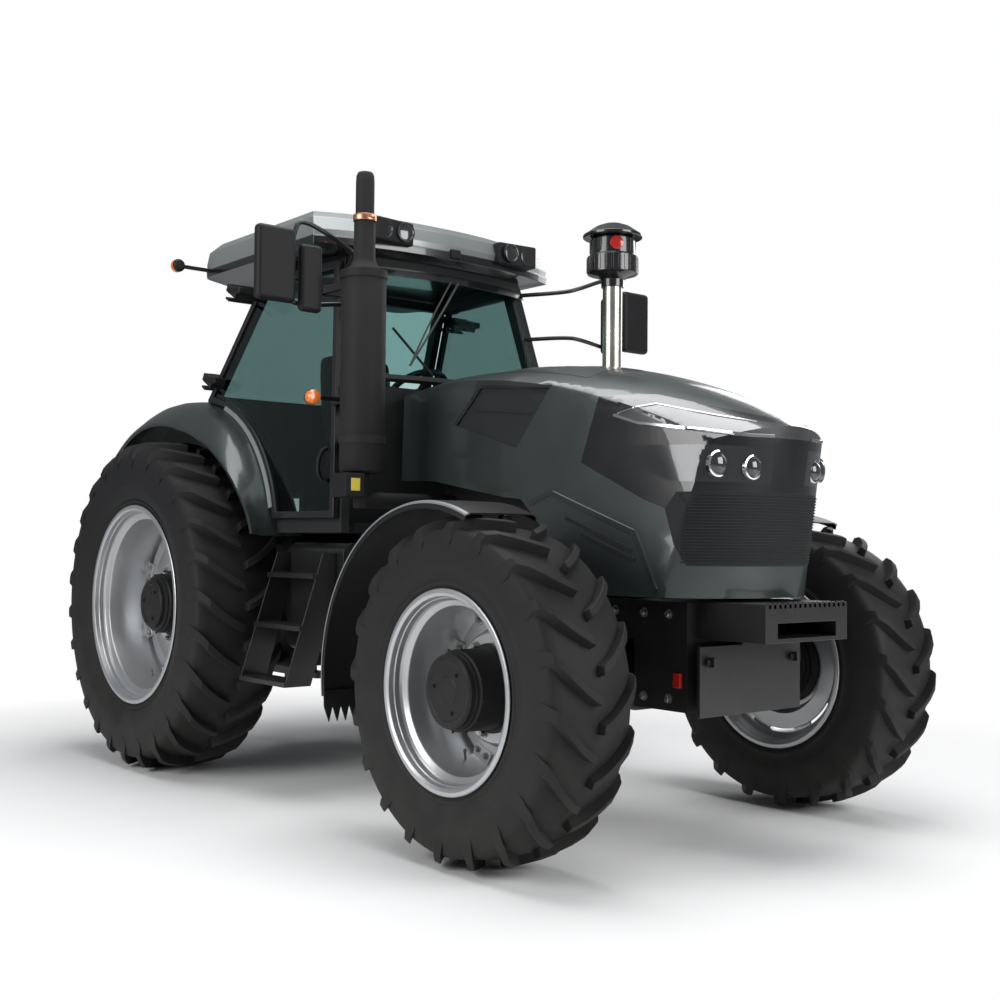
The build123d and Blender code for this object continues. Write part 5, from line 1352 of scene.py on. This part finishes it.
class TRACTOR_OT_stacks(bpy.types.Operator):
    """Exhaust with its copper clamp and the round air intake"""
    bl_idname = "tractor.stacks"
    bl_label = "Exhaust and intake"

    def execute(self, context):
        self.exhaust()
        self.intake()
        return {"FINISHED"}

    def exhaust(self):
        """Silencer, tailpipe, foot, side pipe, two clamps to the pillar and the copper band."""
        x, y = ahead(EXHAUST_PLACE[0]), EXHAUST_PLACE[1]
        place = (x, y, 0)
        profile = [(1.620, 0), (1.620, 0.090), (1.626, 0.103), (1.640, 0.110), (2.575, 0.110),
                   (2.602, 0.100), (2.640, 0.066), (2.668, 0.054), (2.850, 0.052), (2.852, 0.046),
                   (3.050, 0.046), (3.082, 0.044), (3.098, 0.036), (3.098, 0.030), (3.060, 0.034),
                   (2.900, 0.034), (2.900, 0)]
        bm = bmesh.new()
        add_lathe(bm, profile, place, (0, 0, 1), 56)
        add_lathe(bm, [(1.450, 0), (1.450, 0.040), (1.640, 0.040), (1.640, 0)], place, (0, 0, 1), 32)
        add_lathe(bm, [(0, 0), (0, 0.040), (0.56, 0.040), (0.56, 0)], (x, y, 1.490), (0, 1, 0), 32)
        for z in CLAMP_LEVELS:
            root = ahead(pillar_front(z)) - 0.03
            half = door_face(pillar_front(z), z) - 0.05
            add_box(bm, (root, -0.760, z), (ahead(1.62), -0.730, z + 0.040))
            add_box(bm, (root, -0.760, z), (root + 0.03, -half + 0.02, z + 0.040))
            band = [(z, 0.1105), (z, 0.115), (z + 0.04, 0.115), (z + 0.04, 0.1105)]
            add_lathe(bm, band, place, (0, 0, 1), 56, closed=True)
        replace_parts(put("exhaust_stack", bm, "muffler_black", "chassis", 0.001, 30), "exhaust")
        bm = bmesh.new()
        band = [(2.856, 0.047), (2.856, 0.056), (2.862, 0.058), (2.882, 0.058), (2.888, 0.056),
                (2.888, 0.047)]
        add_lathe(bm, band, place, (0, 0, 1), 40, closed=True)
        add_box(bm, (x + 0.05, y - 0.012, 2.866), (x + 0.078, y + 0.012, 2.880))
        put("exhaust_clamp", bm, "copper_clamp", "chassis", 0.0015)
        bm = bmesh.new()
        add_box(bm, (x - 0.02, -0.955, 1.500), (x + 0.10, -0.845, 1.615))
        put("muffler_box", bm, "black_plastic", "chassis", 0.006, 30, 3)
        bm = bmesh.new()
        add_box(bm, (x + 0.0995, -0.925, 1.530), (x + 0.1015, -0.875, 1.590))
        put("muffler_box_label", bm, "label_yellow", "chassis", 0.0005)

    def intake(self):
        """Bright tube with a ribbed bowl, a brim and a coloured disc."""
        x, y = ahead(INTAKE_PLACE[0]), INTAKE_PLACE[1]
        place = (x, y, 0)
        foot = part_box("intake_stack")[0].z
        bm = bmesh.new()
        tube = [(foot, 0), (foot, 0.054), (2.100, 0.054), (2.102, 0.050), (2.648, 0.050), (2.648, 0)]
        add_lathe(bm, tube, place, (0, 0, 1), 48)
        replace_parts(put("intake_tube", bm, "chrome_pipe", "hood", 0.001), "intake_stack")
        profile = [(2.610, 0), (2.610, 0.058), (2.650, 0.060), (2.664, 0.080), (2.678, 0.128),
                   (2.682, 0.132), (2.768, 0.132), (2.776, 0.118), (2.858, 0.114), (2.864, 0.100),
                   (2.866, 0.150), (2.870, 0.1545), (2.882, 0.1545), (2.890, 0.140), (2.925, 0.090),
                   (2.940, 0.050), (2.944, 0)]
        bm = bmesh.new()
        add_lathe(bm, profile, place, (0, 0, 1), 64)
        # two rows of ribs: count, first angle, radius, height of the middle, half sizes
        for count, first, radius, z, half in ((24, 0, 0.131, 2.725, Vector((0.004, 0.007, 0.038))),
                                              (8, 10, 0.114, 2.82, Vector((0.006, 0.012, 0.034)))):
            for k in range(count):
                angle = math.radians(360 / count * k + first)
                spot = Vector((x + radius * math.cos(angle), y + radius * math.sin(angle), z))
                add_box(bm, spot - half, spot + half, Matrix.Rotation(angle, 4, "Z"))
        put("intake_cap", bm, "gloss_black", "hood", 0.002, 30)
        bm = bmesh.new()
        facing = Vector((0.82, -0.57, 0.0)).normalized()
        add_lathe(bm, [(0, 0), (0, 0.034), (0.004, 0.034), (0.006, 0.030), (0.006, 0)],
                  Vector((x, y, 2.822)) + facing * 0.116, facing, 32)
        put("intake_disc", bm, "red_lens", "hood")


class TRACTOR_OT_mirrors(bpy.types.Operator):
    """Mirrors on bent tubes and the amber turn lamps"""
    bl_idname = "tractor.mirrors"
    bl_label = "Mirrors and turn lamps"

    def execute(self, context):
        for side, word in SIDES:
            self.mirror(side, word)
        self.turn_lamps()
        return {"FINISHED"}

    def mirror(self, side, word):
        """Bent tube from the pillar with a large and a small mirror."""
        high, low = [(pillar_front(z) - 0.01, door_face(pillar_front(z), z) - 0.060, z)
                     for z in MIRROR_ROOTS]
        bends = [high, (1.500, 0.740, 2.740), (1.500, 1.090, 2.880), (1.500, 1.150, 2.420),
                 (1.500, 0.760, 2.480), low]
        points = [high]
        for start, end in zip(bends, bends[1:]):
            start, end = Vector(start), Vector(end)
            points += [tuple(start.lerp(end, 0.14)), tuple(start.lerp(end, 0.86))]
        points.append(low)
        tube = pipe(f"mirror_{word}_tube", [(ahead(x), side * y, z) for x, y, z in points], MIRROR_TUBE,
                    "black_metal", "chassis")
        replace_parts(tube, "mirrors")
        rear, margin = ahead(1.504), 0.018
        for label, depth, near, far, foot, top in (("large", 0.060, 1.115, 1.325, 2.430, 2.790),
                                                   ("small", 0.050, 0.960, 1.085, 2.400, 2.730)):
            inner, outer = span(side, near, far)
            bm = bmesh.new()
            add_box(bm, (rear, inner, foot), (rear + depth, outer, top))
            case = put(f"mirror_{word}_{label}", bm, "black_plastic", "chassis", 0.024, 30, 5)
            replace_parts(case, "mirrors")
            bm = bmesh.new()
            add_box(bm, (rear - 0.002, inner + margin, foot + margin),
                    (rear + 0.004, outer - margin, top - margin))
            put(f"mirror_{word}_{label}_glass", bm, "mirror_silver", "chassis", 0.0015)

    def turn_lamps(self):
        """Amber lamps on arms, at the front pillars and the roof's rear corners."""
        black, amber = bmesh.new(), bmesh.new()
        arm_low, arm_high = 1.983, 2.003
        x_root = pillar_front(1.993)
        for side in (-1, 1):
            low, high = span(side, 0.745, 0.960)
            add_box(black, (ahead(1.490), low, arm_low), (ahead(1.510), high, arm_high))
            low, high = span(side, door_face(x_root, 1.993) - 0.07, 0.765)
            add_box(black, (ahead(x_root) - 0.03, low, arm_low), (ahead(1.510), high, arm_high))
            for x, y, z in TURN_LAMPS:
                place, facing = (ahead(x), side * y, z), (1 if x > 1 else -1, 0, 0)
                add_lathe(black, [(-0.034, 0), (-0.034, 0.026), (-0.022, 0.036), (-0.012, 0.0375),
                                  (-0.012, 0)], place, facing, 32)
                add_lathe(amber, [(-0.012, 0), (-0.012, 0.036), (0.016, 0.0365), (0.029, 0.028), (0.034, 0)],
                          place, facing, 32)
            low, high = span(side, 0.780, 0.985)
            add_box(black, (ahead(0.040), low, 2.860), (ahead(0.060), high, 2.880))
        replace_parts(put("turn_lamp_arms", black, "black_plastic", "chassis", 0.002, 30), "signal_lamps")
        put("turn_lamp_lenses", amber, "amber_lens", "chassis")


def seen_directly(tree):
    """One for rays from the camera or through glass, else nought."""
    rays = tree.nodes.new("ShaderNodeLightPath")
    seen = tree.nodes.new("ShaderNodeMath")
    seen.operation = "MAXIMUM"
    tree.links.new(rays.outputs["Is Camera Ray"], seen.inputs[0])
    tree.links.new(rays.outputs["Is Transmission Ray"], seen.inputs[1])
    return seen.outputs[0]


def mix_shaders(tree, factor, first, second, output):
    """Mix of two shaders by a share, led to the output."""
    mix = tree.nodes.new("ShaderNodeMixShader")
    tree.links.new(factor, mix.inputs["Fac"])
    tree.links.new(first.outputs[0], mix.inputs[1])
    tree.links.new(second.outputs[0], mix.inputs[2])
    tree.links.new(mix.outputs[0], tree.nodes[output].inputs["Surface"])


# soft lamps: name, place, what it points at, size in metres, share of the power
SOFTBOXES = (("top_softbox", (0.5, -0.5, 6.5), (0.3, 0, 1), 5.0, 1.0),
             ("front_softbox", (7.0, 1.5, 3.2), (1.0, 0, 1.2), 3.5, 0.75),
             ("side_softbox", (0.5, -7.0, 3.4), (0, -0.5, 1.2), 4.0, 0.8),
             ("far_softbox", (-1.0, 7.0, 4.5), (0, 0, 1.5), 4.0, 0.5))
# camera: place in metres, then yaw, pitch and roll in degrees
CAMERA_PLACE = (5.6661, -4.2748, 1.2816)
CAMERA_TURN = (140.21, 1.97, 0.53)
CAMERA_LENS = 46.16             # millimetres on a sensor 36 mm wide
FLOOR_HALF_SIZE = 40.0
FLOOR_FADE = (2.4, 4.6)         # metres from the middle where the floor starts to fade, and is white
SKY_COLOUR = (0.9, 0.95, 1.0)


class TRACTOR_OT_stage(bpy.types.Operator):
    """Studio floor, soft lamps, even sky and the camera"""
    bl_idname = "tractor.stage"
    bl_label = "Stage"

    def execute(self, context):
        studio = context.scene.tractor_studio
        self.floor(context, studio)
        self.sky(context, studio)
        for name, spot, aim, size, power in SOFTBOXES:
            light = bpy.data.lights.new(name, "AREA")
            light.size = size
            light.energy = studio.lamp * power
            lamp = bpy.data.objects.new(name, light)
            lamp.location = spot
            lamp.rotation_euler = (Vector(aim) - Vector(spot)).to_track_quat("-Z", "Y").to_euler()
            context.scene.collection.objects.link(lamp)
        self.camera(context)
        context.scene.view_settings.view_transform = "Standard"
        return {"FINISHED"}

    def floor(self, context, studio):
        """Pale floor that fades to white away from the tractor and keeps its shadow."""
        corners = ((-1, -1), (1, -1), (1, 1), (-1, 1))
        bm = bmesh.new()
        bm.faces.new([bm.verts.new((x * FLOOR_HALF_SIZE, y * FLOOR_HALF_SIZE, -0.0005)) for x, y in corners])
        mesh = bpy.data.meshes.new("studio_floor")
        bm.to_mesh(mesh)
        bm.free()
        floor = bpy.data.objects.new("studio_floor", mesh)
        context.scene.collection.objects.link(floor)
        material = bpy.data.materials.new("floor_white")
        material.use_nodes = True
        tree = material.node_tree
        shader = tree.nodes["Principled BSDF"]
        shader.inputs["Base Color"].default_value = (*studio.floor, 1)
        shader.inputs["Roughness"].default_value = 0.9
        shader.inputs["Specular IOR Level"].default_value = 0.0
        place = tree.nodes.new("ShaderNodeTexCoord")
        spread = tree.nodes.new("ShaderNodeVectorMath")
        spread.operation = "LENGTH"
        tree.links.new(place.outputs["Object"], spread.inputs[0])
        fade = tree.nodes.new("ShaderNodeMapRange")
        fade.inputs["From Min"].default_value = FLOOR_FADE[0]
        fade.inputs["From Max"].default_value = FLOOR_FADE[1]
        tree.links.new(spread.outputs["Value"], fade.inputs["Value"])
        share = tree.nodes.new("ShaderNodeMath")
        share.operation = "MULTIPLY"
        tree.links.new(fade.outputs["Result"], share.inputs[0])
        tree.links.new(seen_directly(tree), share.inputs[1])
        white = tree.nodes.new("ShaderNodeEmission")
        mix_shaders(tree, share.outputs[0], shader, white, "Material Output")
        mesh.materials.append(material)

    def sky(self, context, studio):
        """Even fill light with a white background."""
        world = bpy.data.worlds.new("studio_sky")
        context.scene.world = world
        world.use_nodes = True
        tree = world.node_tree
        even = tree.nodes["Background"]
        even.inputs["Strength"].default_value = studio.sky
        even.inputs["Color"].default_value = (*SKY_COLOUR, 1)
        bright = tree.nodes.new("ShaderNodeBackground")
        bright.inputs["Color"].default_value = (1, 1, 1, 1)
        mix_shaders(tree, seen_directly(tree), even, bright, "World Output")

    def camera(self, context):
        """Camera ahead of the tractor and to its right, near eye height."""
        yaw, pitch, roll = [math.radians(turn) for turn in CAMERA_TURN]
        fore = Vector((math.cos(yaw) * math.cos(pitch), math.sin(yaw) * math.cos(pitch), math.sin(pitch)))
        right = Vector((math.sin(yaw), -math.cos(yaw), 0))
        up = right.cross(fore)
        turned_right = right * math.cos(roll) + up * math.sin(roll)
        turned_up = up * math.cos(roll) - right * math.sin(roll)
        view = bpy.data.cameras.new("front_camera")
        view.lens = CAMERA_LENS
        view.sensor_width = 36.0
        view.clip_end = 200.0
        camera = bpy.data.objects.new("front_camera", view)
        matrix = Matrix((turned_right, turned_up, -fore)).transposed().to_4x4()
        matrix.translation = Vector(CAMERA_PLACE)
        camera.matrix_world = matrix
        context.scene.collection.objects.link(camera)
        context.scene.camera = camera


OPERATORS = (TRACTOR_OT_finishes, TRACTOR_OT_wheels, TRACTOR_OT_running_gear, TRACTOR_OT_mudguards,
             TRACTOR_OT_hood, TRACTOR_OT_cab, TRACTOR_OT_doors, TRACTOR_OT_roof, TRACTOR_OT_cabin,
             TRACTOR_OT_fenders, TRACTOR_OT_stacks, TRACTOR_OT_mirrors, TRACTOR_OT_stage)
SETTINGS = {"tractor_paint": PaintSettings, "tractor_wheels": WheelSettings, "tractor_trim": TrimSettings,
            "tractor_studio": StudioSettings}


class TRACTOR_PT_panel(bpy.types.Panel):
    """Sizes, colours and the pieces of the tractor"""
    bl_idname = "TRACTOR_PT_panel"
    bl_label = "Farm tractor"
    bl_space_type = "VIEW_3D"
    bl_region_type = "UI"
    bl_category = "Tractor"

    def draw(self, context):
        for name, settings in SETTINGS.items():
            group = getattr(context.scene, name)
            for field in settings.__annotations__:
                self.layout.prop(group, field)
        for operator in OPERATORS:
            self.layout.operator(operator.bl_idname)


def register():
    for one in (*SETTINGS.values(), *OPERATORS, TRACTOR_PT_panel):
        bpy.utils.register_class(one)
    for name, settings in SETTINGS.items():
        setattr(bpy.types.Scene, name, bpy.props.PointerProperty(type=settings))


def unregister():
    for name in SETTINGS:
        delattr(bpy.types.Scene, name)
    for one in (TRACTOR_PT_panel, *reversed(OPERATORS), *reversed(SETTINGS.values())):
        bpy.utils.unregister_class(one)


def main():
    register()
    for operator in OPERATORS:
        getattr(bpy.ops.tractor, operator.bl_idname.split(".")[1])()


if __name__ == "__main__":
    main()
